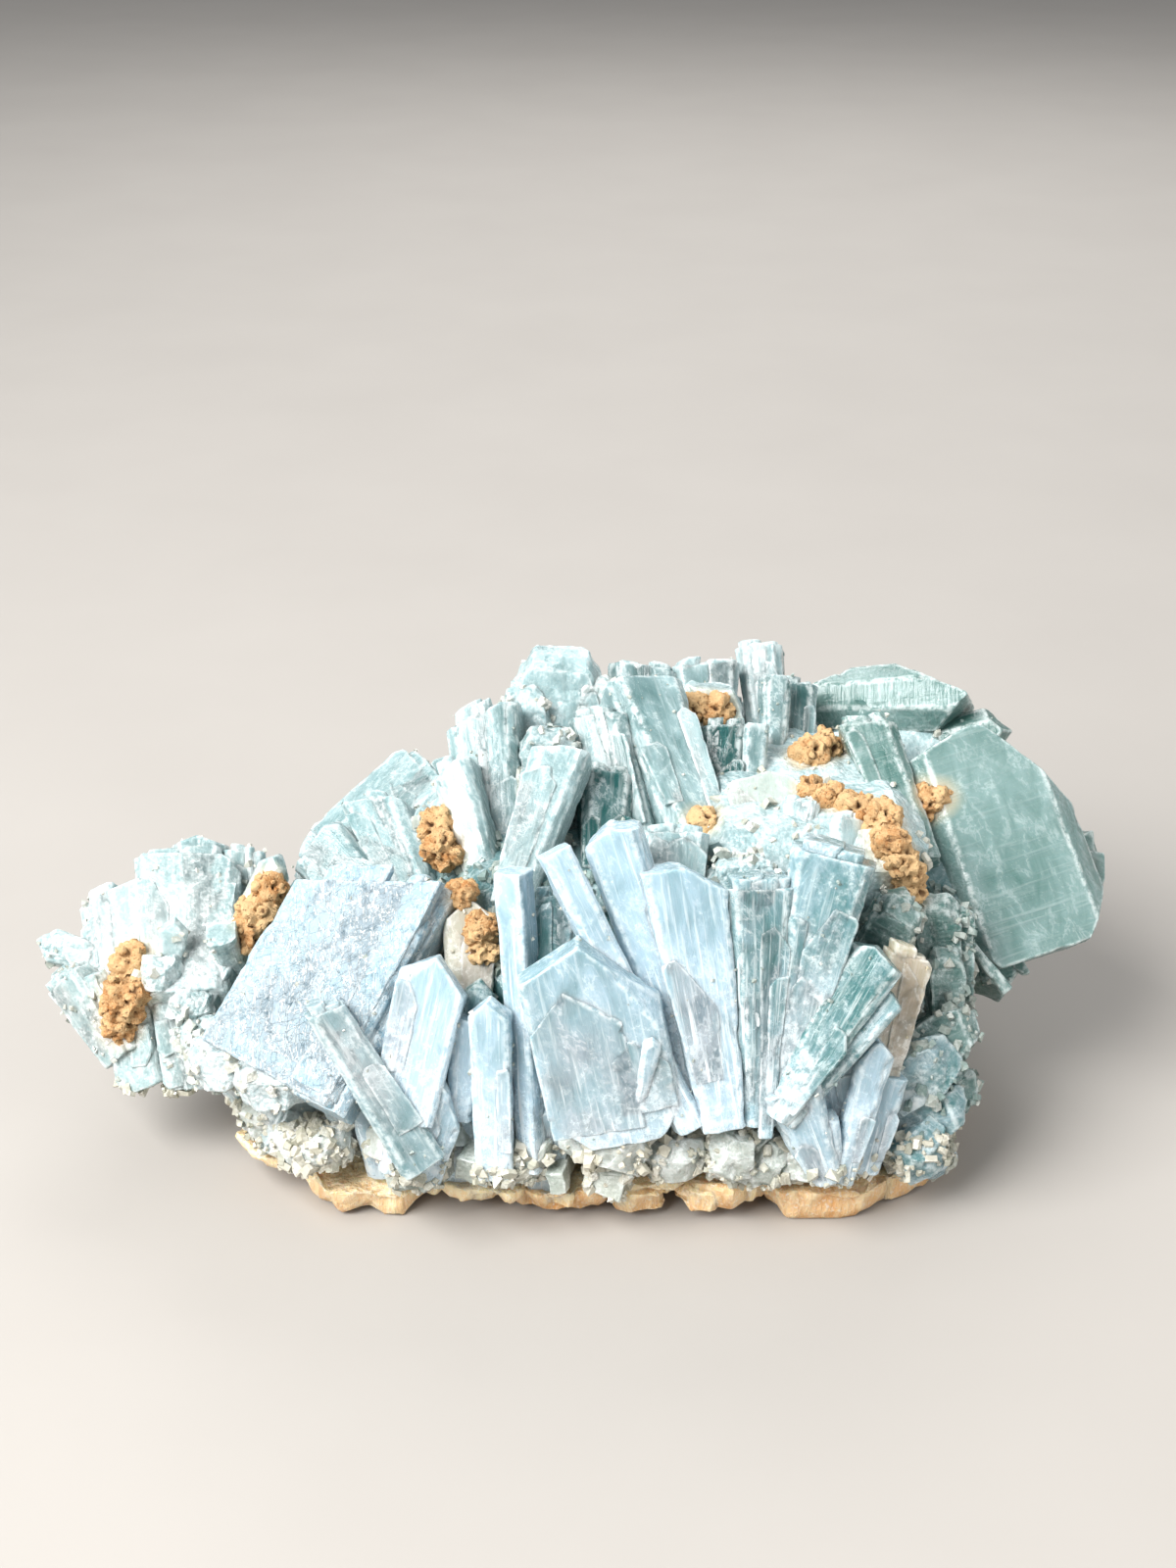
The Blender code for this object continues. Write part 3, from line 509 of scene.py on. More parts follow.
LEFT_LOBE = (
    Crystal("table", (-61, -25, 27), (-63, -3, 37.5), (0, -0.6, 0.8), 18, 10, slant=6),
    Crystal("left_block", (-71, -24, 25), (-74, -8, 34.5), (-0.3, -0.6, 0.75), 13, 8, slant=-8),
    Crystal("peak", (-61, -10, 27), (-61.5, -1, 41), (0, -1, 0.4), 9, 8, LOW_ROOF),
    Crystal("pale_peak", (-53, -11, 27), (-54.5, -2, 40), (0.2, -1, 0.4), 7, 6, slant=8),
    Crystal("blade", (-57.5, -27, 27), (-47, -11, 43.5), (-0.4, -0.8, 0.4), 5, 4.5, POINT),
    Crystal("stub", (-53.5, -22, 28), (-55, -26, 37.5), (0, -1, 0.2), 5, 4.5),
    Crystal("shard", (-64, -25, 29), (-62.5, -23, 39), (0, -1, 0.2), 5, 3, POINT),
    Crystal("druse_a", (-65, -20, 27), (-65, -29, 32), (0, -0.2, 1), 8, 6, DOME),
    Crystal("druse_b", (-60, -21, 24), (-60, -32, 27), (0.2, -0.2, 1), 8, 6, DOME),
    Crystal("west_tip", (-74, -19, 28), (-86, -16.5, 30), (0, -0.7, 0.7), 6, 5, ROOF),
    Crystal("west_tip_low", (-72, -21, 24), (-83.5, -22, 27), (0, -0.9, 0.4), 7, 5, ROOF),
    Crystal("wing", (-71.5, -30, 17), (-81, -22, 28), (-0.5, -0.9, 0.1), 9, 5, steps=1, splay=8, root=0),
    Crystal("low_fan", (-70, -26, 24), (-68.5, -32, 12), (-0.2, -1, 0), 9, 5, LOW_ROOF),
    Crystal("low_corner", (-64, -27, 23), (-61.5, -32, 12.5), (0.3, -1, 0), 7, 6, chips=3),
    Crystal("bridge", (-55, -25, 18), (-59, -35, 24), (-0.2, -0.5, 0.9), 11, 8, DOME),
    Crystal("under", (-60, -18, 22), (-66, -23, 9), (-0.6, -0.8, 0), 12, 8, ROOF),
)

LEFT_PLATE = (
    Crystal("big_plate", (-45, -47.5, 25), (-29, -29, 49), (-0.25, -0.7, 0.7), 23, 9, LOW_ROOF, slant=-24,
            taper=1.05, bevel=0.1, root=0, chips=3),
    Crystal("plate_step_a", (-37, -50, 27), (-21, -30, 48), (-0.2, -0.7, 0.7), 9, 8, slant=-24, taper=1.0),
    Crystal("plate_step_b", (-36, -51, 25), (-26, -38, 39), (-0.2, -0.75, 0.65), 9, 7, slant=-20, taper=1.0),
    Crystal("plate_skirt", (-51, -37, 22), (-54.5, -45, 26), (-0.4, -0.5, 0.8), 13, 9, DOME),
    Crystal("plate_foot", (-43, -40, 23), (-45, -51, 25.5), (-0.2, -0.5, 0.8), 15, 8, DOME),
    Crystal("diagonal_blade", (-24, -54, 17), (-37.5, -49, 40), (0.25, -1, 0.4), 6, 5, slant=12, taper=1.2),
    Crystal("cave_plate_a", (-42, -41, 12), (-47, -41, 23), (0, -0.9, 0.4), 10, 6),
    Crystal("cave_plate_b", (-34, -44, 14), (-37, -44, 25), (0.3, -1, 0.2), 8, 5, ROOF),
    Crystal("low_ledge", (-38, -38, 9), (-47.5, -42, 14), (-0.2, -1, 0.3), 10, 8),
    Crystal("low_skirt", (-48, -32, 12), (-54.5, -37, 18), (-0.4, -0.7, 0.5), 10, 7, ROOF),
)

LEFT_SLOPE = (
    Crystal("slope_face", (-36.5, 2, 35.5), (-22, 9, 46), (-0.48, -0.29, 0.83), 18, 12, bevel=0.1,
            taper=0.95),
    Crystal("slope_block", (-25, -17, 40), (-32.5, -1, 47.5), (-0.2, -0.8, 0.5), 10, 8, slant=30),
    Crystal("slope_ledge", (-31, -16, 36), (-42.5, -5, 42), (-0.2, -0.6, 0.75), 11, 7, slant=-10),
    Crystal("pocket_wall", (-20, -2, 38), (-20.5, -13, 50.5), (0, -0.9, 0.4), 11, 9, DOME),
    Crystal("slope_low", (-34, 8, 26), (-46, 6, 32), (-0.6, 0, 0.8), 16, 9),
)

TOP_ROW = (
    Crystal("column_block", (-12.5, -16, 40), (-15, 3, 62.5), (-0.1, -0.8, 0.6), 12, 9, slant=-20),
    Crystal("column_front", (-12.5, -26, 42), (-19.5, -9, 59), (-0.2, -0.8, 0.5), 7, 7, slant=-10),
    Crystal("speckled_blade", (-9, -30, 47), (-2, -12, 61.5), (-0.15, -0.8, 0.5), 9.5, 8, slant=-8,
            taper=0.7),
    Crystal("teal_block", (4, -24, 45), (5, -7, 55.5), (0.1, -0.8, 0.6), 9, 8, slant=5),
    Crystal("plate_left", (10, -16, 46), (4, 3, 62), (-0.4, -0.8, 0.5), 10, 8, slant=12),
    Crystal("top_plate", (19, -16, 48), (10.5, 8, 62.5), (0.3, -0.7, 0.65), 13, 11, slant=6),
    Crystal("milky_round", (-3, 10, 48), (-3, 19, 66), (0, -0.9, 0.4), 16, 14, DOME),
    Crystal("milky_west", (-7, 6, 48), (-8, 13, 62.5), (-0.2, -0.9, 0.4), 9, 10, DOME),
    Crystal("milky_east", (3, 8, 48), (3, 15, 63), (0.2, -0.9, 0.4), 8, 8, DOME),
    Crystal("saddle_druse", (-5, -9, 50), (-4, -3, 62), (0, -0.9, 0.4), 10, 8, DOME),
    Crystal("back_row_a", (11, 20, 46), (11.5, 31, 57), (0, -0.8, 0.6), 12, 9, slant=6),
    Crystal("back_row_b", (22, 22, 46), (22, 32, 57.5), (0.1, -0.8, 0.6), 12, 8, slant=-5),
    Crystal("round_pale", (23, 5, 48), (21.5, 16, 61), (0.1, -0.7, 0.7), 12, 8, DOME),
    Crystal("notch_teal", (23, -8, 46), (24, 4, 59.5), (0, -0.8, 0.6), 8, 7, slant=-4),
    Crystal("bright_blade", (32, 1, 46), (33, 14, 63), (0.2, -0.9, 0.4), 5, 4.5),
    Crystal("short_blade", (28, -7, 47), (29, 2, 60), (0.1, -0.9, 0.4), 4.5, 4),
    Crystal("top_block", (33, 28, 46), (32, 38, 58.5), (-0.1, -0.8, 0.5), 8.5, 8),
    Crystal("dark_block", (36, 7, 46), (37, 20, 59.5), (0.1, -0.8, 0.6), 7, 7),
)

SHELF = (
    Crystal("shelf_block", (15, -36, 44), (15, -26, 56), (0, -0.8, 0.6), 11, 8, slant=3),
    Crystal("shelf_druse", (25, -38, 45), (25, -30, 54), (0.1, -0.7, 0.7), 12, 7, DOME),
    Crystal("shelf_pale", (31, -25, 45), (30, -8, 54.5), (0.1, -0.6, 0.8), 15, 8, LOW_ROOF),
    Crystal("cube_left", (33, -26, 46), (35.5, -16, 55.5), (-0.3, -0.8, 0.5), 6.5, 6),
    Crystal("cube_right", (40, -29, 46), (42, -20, 55), (0.3, -0.8, 0.5), 7, 6),
)

RIGHT_BLADES = (
    Crystal("lens", (64, 21, 56), (38.5, 27, 52), (0, -0.8, 0.6), 11, 10, ROOF, taper=1.15, bevel=0.35,
            trims=((1, 0, -0.5, 6), (-1, 0, -0.9, 4), (1, 0, 0.5, 2))),
    Crystal("lens_dark", (60, 19, 48), (74.5, 18, 51), (0.1, -0.8, 0.6), 10, 9, POINT, bevel=0.3),
    Crystal("pale_column", (54, -13, 45), (47, 5, 59), (-0.1, -0.7, 0.7), 9, 9, slant=16),
    Crystal("giant_plate", (74.5, -16, 27), (62.5, 5.5, 57), (0.12, -0.8, 0.6), 26, 14, LOW_ROOF, slant=6,
            taper=1.05, bevel=0.3, root=0, trims=((1, 0, -0.9, 5), (-1, 0, -0.8, 4), (1, 0, 0.7, 6))),
    Crystal("giant_step", (75, -3, 29), (76, 10, 45), (0.5, -0.7, 0.6), 12, 11, ROOF),
    Crystal("giant_side", (78, -5, 27), (83.5, 5, 39), (0.5, -0.6, 0.6), 12, 10, ROOF),
    Crystal("giant_toe", (65, -10, 30), (69, -19, 21.5), (0.2, -0.9, 0.4), 9, 8, ROOF),
    Crystal("giant_back", (64, 4, 28), (74, 10, 40), (0.3, -0.3, 0.9), 22, 12),
    Crystal("column_inner", (57, -37, 24), (56.5, -31, 38), (0.1, -1, 0.4), 6, 6, DOME),
    Crystal("column_pale", (57, -32, 30), (55.5, -25, 44), (-0.1, -1, 0.4), 8, 6, DOME, steps=1),
    Crystal("stick", (60, -25, 37), (67.5, -28.5, 28.5), (0.2, -1, 0.2), 2.2, 2.2, chips=0),
    Crystal("dark_stub", (52, -38, 24), (61, -36, 28.5), (0.2, -0.9, 0.5), 9, 8, DOME),
    Crystal("side_stub", (50, -36, 14), (62, -39, 18), (0.3, -0.9, 0.4), 9, 8, DOME),
    Crystal("seam_wall", (45, -33, 38), (50, -35, 49), (0, -0.9, 0.4), 8, 8, DOME),
)

FRONT_FAN = (
    Crystal("front_prism", (-6.5, -51, 14), (-9, -40, 56.5), (-0.5, -0.9, 0.2), 5, 4.5, bevel=0.1),
    Crystal("crossing_blade", (16, -53, 23), (-3, -43, 61.5), (0.2, -0.9, 0.5), 5, 4.5, taper=0.9),
    Crystal("tall_side", (18, -49, 25), (5, -38, 63), (-0.1, -0.9, 0.35), 9, 7, LOW_ROOF, slant=-4),
    Crystal("tall_plate", (22, -53, 20), (15.5, -41, 58), (0.15, -0.95, 0.3), 13, 6.5, LOW_ROOF, slant=22,
            taper=0.5, bevel=0.1, root=0),
    Crystal("low_plate", (7, -53, 18), (0.5, -50, 50.5), (-0.05, -1, 0.25), 20, 5, ROOF, slant=18,
            taper=1.0, root=0, trims=((1, 0, -0.8, 3), (-1, 0, -1, 4))),
    Crystal("plate_spike", (9.5, -54, 25), (11.5, -54, 37), (0.1, -1, 0.2), 3, 3, POINT, chips=0),
    Crystal("fan_column", (27, -52, 20), (27, -40, 56), (0.1, -0.95, 0.3), 10.5, 7, taper=0.4, steps=3,
            splay=6, root=0),
    Crystal("block_blade", (30, -50, 23), (38.5, -38, 60), (-0.1, -0.9, 0.4), 13, 8, slant=2, taper=0.4,
            steps=1, root=0),
    Crystal("frosted_blade", (30, -54, 22), (44.5, -44, 46), (-0.2, -0.9, 0.5), 11, 6, LOW_ROOF, taper=0.35,
            steps=1, root=0),
    Crystal("cream_sheet", (46, -46, 24), (50, -41, 44.5), (0.3, -0.9, 0.3), 8, 3, slant=10, taper=0.6),
    Crystal("low_fan_white", (38, -53.5, 11), (32, -52, 27), (-0.1, -1, 0.2), 9, 5, steps=2, taper=0.5,
            root=0),
    Crystal("low_blade_a", (40, -53, 10), (45, -47, 32), (0.1, -1, 0.3), 6, 5, ROOF, taper=0.6, root=0),
    Crystal("low_blade_b", (43.5, -50, 10), (47, -46, 25), (0.3, -1, 0.3), 6, 5, taper=0.8, root=0),
    Crystal("right_lump_a", (50, -41, 20), (57, -41, 27), (0.3, -0.9, 0.4), 10, 8, DOME),
    Crystal("right_lump_b", (50, -40, 12), (60, -42, 18), (0.3, -0.9, 0.4), 9, 8, DOME),
    Crystal("right_lump_c", (49, -40, 9), (55, -48, 12), (0.3, -0.7, 0.6), 11, 8, DOME),
    Crystal("right_lump_d", (50, -36, 6), (58, -43, 8), (0.5, -0.7, 0.4), 10, 7, DOME),
    Crystal("recess_teal", (-3, -45, 34), (-3, -35, 51), (0, -1, 0.3), 8, 6, slant=-8),
    Crystal("white_blade", (-12, -53, 14), (-12.5, -48, 39.5), (-0.1, -1, 0.2), 6.5, 3, ROOF, taper=0.9),
    Crystal("pale_shard", (-25, -52, 24), (-20, -44, 44.5), (-0.1, -1, 0.4), 11, 4, ROOF, slant=10,
            taper=0.9),
    Crystal("pale_blocks", (-24, -52, 14), (-20, -50, 27), (0.1, -1, 0.3), 11, 5, ROOF, taper=0.9),
    Crystal("cream_shard", (-16, -41, 32), (-15.5, -32, 47), (0, -0.9, 0.5), 9, 5, ROOF),
    Crystal("dark_shard", (-15.5, -45, 29), (-14, -42, 39.5), (-0.3, -1, 0.2), 5, 4, POINT),
    Crystal("blue_shard", (-17, -49, 22), (-16, -46, 35), (0.1, -1, 0.2), 5.5, 4, slant=15),
    Crystal("toe_white_a", (-25, -45, 11), (-26, -53, 17), (0, -0.6, 0.8), 13, 7, DOME),
    Crystal("toe_white_b", (5, -46, 12), (4, -54, 18), (0, -0.6, 0.8), 15, 7, DOME),
    Crystal("toe_white_c", (36, -44, 9), (37, -53, 14), (0.1, -0.7, 0.7), 14, 7, DOME),
    Crystal("toe_left_a", (-38, -40, 12), (-41, -51, 13), (-0.2, -0.3, 0.9), 14, 7, DOME),
    Crystal("toe_left_b", (-44, -35, 12), (-49.5, -43, 14), (-0.3, -0.3, 0.9), 12, 7, DOME),
    Crystal("toe_mid_a", (-8, -43, 12), (-9, -53, 13), (0, -0.3, 0.9), 13, 7, DOME),
    Crystal("toe_mid_b", (14, -43, 12), (15, -53, 13), (0, -0.3, 0.9), 13, 7, DOME),
    Crystal("toe_mid_c", (27, -43, 11), (29, -53, 12), (0, -0.3, 0.9), 12, 7, DOME),
    Crystal("toe_grey", (23, -46, 11), (23.5, -54, 17), (0, -0.8, 0.6), 10, 7, DOME),
)

# Crystals that stand back between the front ones, where the CAD has only its mass.
FAN_BETWEEN = (
    Crystal("between_white", (41, -47, 12), (37.5, -46, 31), (0, -1, 0.3), 8, 6, ROOF),
    Crystal("between_grey", (45, -45, 14), (42.5, -43, 34), (0.2, -1, 0.3), 7, 6),
    Crystal("between_left", (-29, -46, 10), (-30.5, -46, 24), (0, -1, 0.3), 9, 6, ROOF),
    Crystal("between_mid", (-18, -46, 8), (-18.5, -46, 22), (0, -1, 0.3), 9, 6, LOW_ROOF),
    Crystal("between_low", (-5, -47, 8), (-4, -47, 21), (0.1, -1, 0.3), 8, 6, ROOF),
    Crystal("between_cave", (-1, -46, 20), (-2, -44, 36), (0.1, -1, 0.3), 7, 6, ROOF),
)

BACK = (
    Crystal("back_plate_west", (-24, 36, 10), (-19, 25, 41), (-0.25, 0.8, 0.5), 21, 9, slant=14, chips=0),
    Crystal("back_plate_mid", (0, 44, 9), (-3, 31, 49), (0, 0.9, 0.4), 18, 9, LOW_ROOF, chips=0),
    Crystal("back_plate_east", (26, 45, 10), (22, 33, 49), (0.1, 0.9, 0.4), 19, 9, slant=-10),
    Crystal("back_blade_east", (47, 36, 10), (42, 28, 46), (0.4, 0.8, 0.4), 14, 9, ROOF, chips=0),
    Crystal("back_fan_a", (-15, 45, 8), (-9, 43, 31), (-0.2, 0.9, 0.3), 12, 7, ROOF, chips=0),
    Crystal("back_fan_b", (12, 48, 8), (16, 46, 33), (0.1, 0.9, 0.3), 13, 7, slant=12, chips=0),
    Crystal("back_fan_c", (38, 44, 8), (33, 42, 29), (0.3, 0.9, 0.3), 12, 7, ROOF, chips=0),
    Crystal("back_wall_west", (-40, 20, 10), (-31, 18, 34), (-0.7, 0.6, 0.4), 17, 9, slant=-10, chips=0),
    Crystal("back_giant", (60, 20, 16), (58, 22, 40), (0.6, 0.7, 0.3), 17, 9, LOW_ROOF, chips=0),
    Crystal("back_crown", (-8, 20, 39), (-10, 31, 51), (-0.1, 0.6, 0.8), 15, 8, LOW_ROOF, chips=0),
    Crystal("back_lobe", (-60, -4, 18), (-64, 4, 31), (-0.2, 0.9, 0.3), 17, 8, slant=8, chips=0),
    Crystal("east_side", (56, -4, 12), (62, -2, 30), (0.9, 0.2, 0.3), 16, 8, ROOF, chips=0),
    Crystal("west_side", (-48, -6, 8), (-50, -6, 24), (-0.9, 0.2, 0.3), 15, 8, ROOF, chips=0),
)

# Blocks of the mass that the crystals grow from: lowest corner, highest corner, corner cut.
MASS = (
    ((-30, -43, 4), (44, 34, 49), 15),
    ((-50, -41, 4), (-18, 26, 35), 11),
    ((-77, -28, 13), (-46, 1, 31), 9),
    ((34, -36, 4), (60, 26, 43), 10),
    ((46, -18, 26), (80, 20, 46), 9),
    ((-24, 20, 4), (46, 42, 34), 13),
    ((18, -29, 38), (55, 16, 55), 5),
    ((40, 12, 34), (70, 30, 52), 5),
)

# Lumps of the crust: middle (x, y), half widths (x, y), height of its underside. The piece rests on
# the small flat undersides of those at height 0.
CRUST_LUMPS = (
    ((-43, -35), (10, 9), 3.0),
    ((-31, -39), (13, 11), 0.0),
    ((-14, -40), (11, 10), 3.0),
    ((-2, -41), (11, 10), 1.0),
    ((11, -41), (10, 10), 2.5),
    ((23, -41), (10, 10), 2.5),
    ((38, -40), (14, 11), 0.0),
    ((49, -36), (9, 10), 0.5),
    ((-45, -16), (10, 15), 3.0),
    ((53, -14), (9, 15), 2.5),
    ((-38, 10), (13, 15), 2.0),
    ((50, 12), (11, 15), 3.0),
    ((-22, 27), (15, 13), 0.0),
    ((1, 33), (16, 12), 2.0),
    ((26, 32), (15, 13), 0.0),
    ((42, 25), (11, 11), 3.0),
)

# The crust's slab: middle, half widths, height of its underside.
CRUST_SLAB = ((3, -5), (44, 36), 1.6)

# Clay deposits: for each piece, the middle and the radius of every lump in it.
CLAY = {
    "clay_lobe_pocket": (((-69.8, -23.6, 30.3), 3.6), ((-70.4, -28.2, 27), 4.0),
                         ((-71.6, -29.3, 22.6), 3.0)),
    "clay_lobe_slot": (((-51.6, -22.3, 34.8), 3.2), ((-50, -19.6, 37.4), 3.6), ((-48.5, -17.2, 40.3), 3.0)),
    "clay_left_pocket": (((-21.5, -17, 51.5), 3.2), ((-20.5, -21, 49.5), 3.2)),
    "clay_left_step": (((-17, -32.5, 48), 2.6),),
    "clay_centre_pocket": (((-14.2, -36.5, 44.5), 2.8), ((-13.7, -37.7, 41.5), 2.4)),
    "clay_top_saddle": (((19.5, 9.5, 59.5), 2.8), ((23, 9.5, 59), 3.0)),
    "clay_shelf": (((20.2, -18.2, 52.6), 2.8),),
    "clay_back_notch": (((38, 1, 55), 3.3), ((41, 4, 55.5), 2.8)),
    "clay_seam": (((37, -12.3, 55), 2.6), ((40, -15, 55), 2.8), ((43.5, -18, 55), 3.1),
                  ((47, -21.5, 55), 3.3), ((48, -25.5, 53.3), 3.0), ((50, -27, 50.3), 3.2),
                  ((51.2, -27.3, 46.6), 2.8)),
    "clay_column_patch": (((56, -7, 50.8), 2.8), ((58, -7, 51.2), 2.2)),
}


@dataclass(frozen=True)
class Cad:
    """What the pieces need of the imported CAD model: its cluster and its box."""
    cluster: bpy.types.Object
    lowest: Triple
    highest: Triple


class Bundle:
    """Many bodies gathered into one mesh, with the attributes that its finish reads.

    grain is a place along the crystal in millimetres, look is (distance to the nearest edge, share of
    the length, tint), and cover is (frost, fibre, cream).
    """

    LAYERS = ("grain", "look", "cover")

    def __init__(self) -> None:
        """Start with nothing."""
        self.points: list[np.ndarray] = []
        self.triangles: list[np.ndarray] = []
        self.layers: dict[str, list[np.ndarray]] = {name: [] for name in self.LAYERS}
        self.count = 0

    def add(self, points: np.ndarray, triangles: np.ndarray, **layers: np.ndarray) -> None:
        """Add one body.

        Args:
            points: its points, in millimetres in the tables' frame.
            triangles: three point numbers a row.
            layers: for each attribute, three numbers a point, or three for the whole body.
        """
        self.points.append(points)
        self.triangles.append(triangles + self.count)
        for name in self.LAYERS:
            self.layers[name].append(np.broadcast_to(layers[name], points.shape))
        self.count += len(points)

    def build(self, name: str, cad: Cad, sharp: float = SHARP_ANGLE) -> bpy.types.Object:
        """Make the mesh object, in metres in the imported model's frame.

        Args:
            name: the object's name.
            cad: the CAD model, whose box it stays inside.
            sharp: the angle from which an edge isn't shaded smooth.

        Returns:
            The object, linked to the scene.
        """
        points = (np.concatenate(self.points) + np.array(SHIFT)) * MM
        points = np.clip(points, cad.lowest, cad.highest)
        triangles = np.concatenate(self.triangles)
        mesh = bpy.data.meshes.new(name)
        mesh.vertices.add(len(points))
        mesh.vertices.foreach_set("co", points.ravel())
        mesh.loops.add(triangles.size)
        mesh.loops.foreach_set("vertex_index", triangles.ravel())
        mesh.polygons.add(len(triangles))
        mesh.polygons.foreach_set("loop_start", np.arange(0, triangles.size, 3))
        mesh.update(calc_edges=True)
        for layer in self.LAYERS:
            attribute = mesh.attributes.new(layer, "FLOAT_VECTOR", "POINT")
            attribute.data.foreach_set("vector", np.concatenate(self.layers[layer]).ravel())
        mesh.polygons.foreach_set("use_smooth", np.ones(len(triangles), bool))
        mesh.set_sharp_from_angle(angle=sharp)
        item = bpy.data.objects.new(name, mesh)
        bpy.context.scene.collection.objects.link(item)
        return item


def place(item: bpy.types.Object, material: bpy.types.Material, slot: str, *nodes: str) -> None:
    """Dress a piece, hide the CAD nodes that it stands for, and let it ride on the body.

    Args:
        item: the piece.
        material: its finish.
        slot: not used.
        nodes: the CAD nodes that it stands for.
    """
    item.data.materials.append(material)
    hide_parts(*nodes)
    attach(item, "root")
    LOG.info("%s: %d triangles", item.name, len(item.data.polygons))


class Value:
    """A shader socket that takes part in arithmetic: a number, a vector or a colour."""

    def __init__(self, graph: "Graph", socket: bpy.types.NodeSocket) -> None:
        """Wrap a socket of a graph."""
        self.graph, self.socket = graph, socket

    def math(self, operation: str, *values: object, clamp: bool = False) -> "Value":
        """Apply a Math node to numbers."""
        return self.graph.node("ShaderNodeMath", {"operation": operation, "use_clamp": clamp},
                               dict(enumerate(values)))

    def __add__(self, other: object) -> "Value":
        """Add."""
        return self.math("ADD", self, other)

    __radd__ = __add__

    def __mul__(self, other: object) -> "Value":
        """Multiply."""
        return self.math("MULTIPLY", self, other)

    __rmul__ = __mul__

    def __sub__(self, other: object) -> "Value":
        """Subtract a value from this one."""
        return self.math("SUBTRACT", self, other)

    def __rsub__(self, other: object) -> "Value":
        """Subtract this value from another."""
        return self.math("SUBTRACT", other, self)

    def __or__(self, other: "Value") -> "Value":
        """Keep whichever value is higher."""
        return self.math("MAXIMUM", self, other)

    def __abs__(self) -> "Value":
        """Drop the sign."""
        return self.math("ABSOLUTE", self)

    def clamp(self) -> "Value":
        """Keep the value between 0 and 1."""
        return self.math("ADD", self, 0.0, clamp=True)

    def smooth(self, start: float, stop: float) -> "Value":
        """Ease from 0 to 1 while the value goes from start to stop."""
        return self.graph.node("ShaderNodeMapRange", {"interpolation_type": "SMOOTHSTEP"},
                               {"Value": self, "From Min": start, "From Max": stop})

    def scaled(self, *factors: float) -> "Value":
        """Stretch a vector along its three axes."""
        return self.graph.node("ShaderNodeVectorMath", {"operation": "MULTIPLY"}, {0: self, 1: factors})

    def turned(self, degrees: float) -> "Value":
        """Turn a vector about its Y axis, which stands on a crystal's broad face."""
        return self.graph.node("ShaderNodeVectorRotate", {"rotation_type": "Y_AXIS"},
                               {"Vector": self, "Angle": math.radians(degrees)})

    def parts(self) -> tuple["Value", ...]:
        """Split a vector into its three numbers."""
        split = self.graph.node("ShaderNodeSeparateXYZ", {}, {0: self})
        return tuple(Value(self.graph, output) for output in split.socket.node.outputs)


class Graph:
    """A material's node tree, with one method that adds every kind of node."""

    def __init__(self, name: str) -> None:
        """Make a material with nothing in it.

        Args:
            name: the material's name.
        """
        self.material = bpy.data.materials.new(name)
        self.material.use_nodes = True
        self.tree = self.material.node_tree
        self.tree.nodes.clear()

    def node(self, kind: str, settings: dict[str, object], inputs: dict[str | int, object],
             output: str | int | None = 0) -> Value | None:
        """Add a node.

        Args:
            kind: the node's type.
            settings: its own properties, set before its sockets.
            inputs: a constant or a Value for each input socket, by name or number.
            output: the socket that is given back.

        Returns:
            The output as a Value.
        """
        node = self.tree.nodes.new(kind)
        for key, setting in settings.items():
            setattr(node, key, setting)
        for key, value in inputs.items():
            self.feed(node.inputs[key], value)
        return None if output is None else Value(self, node.outputs[output])

    def feed(self, socket: bpy.types.NodeSocket, value: object) -> None:
        """Link a Value to a socket, or set a constant on it.

        Args:
            socket: the input socket.
            value: a Value, or a constant.
        """
        if isinstance(value, Value):
            self.tree.links.new(value.socket, socket)
        else:
            socket.default_value = value

    def attribute(self, name: str) -> Value:
        """Read a vector attribute of the mesh."""
        return self.node("ShaderNodeAttribute", {"attribute_name": name}, {}, "Vector")

    def place(self) -> Value:
        """Give the place on the object, in millimetres."""
        return self.node("ShaderNodeTexCoord", {}, {}, "Object").scaled(*[1 / MM] * 3)

    def noise(self, vector: Value, scale: float, detail: float = 2.0, roughness: float = 0.5,
              distortion: float = 0.0) -> Value:
        """Add fractal noise, from 0 to 1.

        Args:
            vector: the place, in millimetres.
            scale: waves in a millimetre.
            detail: how many finer waves.
            roughness: their strength.
            distortion: how far they are pulled about.

        Returns:
            The noise.
        """
        return self.node("ShaderNodeTexNoise", {},
                         {"Vector": vector, "Scale": scale, "Detail": detail, "Roughness": roughness,
                          "Distortion": distortion})

    def cells(self, vector: Value, scale: float) -> Value:
        """Add Voronoi cells, as the distance to the nearest cell's middle."""
        return self.node("ShaderNodeTexVoronoi", {}, {"Vector": vector, "Scale": scale}, "Distance")

    def mix(self, low: object, high: object, factor: object) -> Value:
        """Mix two colours."""
        return self.node("ShaderNodeMix", {"data_type": "RGBA"}, {0: factor, 6: low, 7: high}, 2)

    def surface(self, **inputs: object) -> Value:
        """Add a Principled shader, with underscores for the blanks in its socket names."""
        return self.node("ShaderNodeBsdfPrincipled", {},
                         {name.replace("_", " "): value for name, value in inputs.items()})

    def blend(self, low: Value, high: Value, factor: Value) -> Value:
        """Mix two shaders."""
        return self.node("ShaderNodeMixShader", {}, {0: factor, 1: low, 2: high})

    def bump(self, height: Value) -> Value:
        """Turn a height in millimetres into a normal."""
        return self.node("ShaderNodeBump", {}, {"Height": height, "Distance": MM}, "Normal")

    def finish(self, shader: Value) -> bpy.types.Material:
        """Put a shader on the surface and give the material."""
        self.node("ShaderNodeOutputMaterial", {}, {"Surface": shader}, output=None)
        return self.material


WHITE = srgb(238, 241, 239)
CREAM = srgb(212, 201, 172)
BARITE_IOR = 1.6


@dataclass(frozen=True)
class Finish:
    """A named finish. Each kind builds its material in its own way."""
    name: str

    def material(self) -> bpy.types.Material:
        """Build the material."""
        raise NotImplementedError


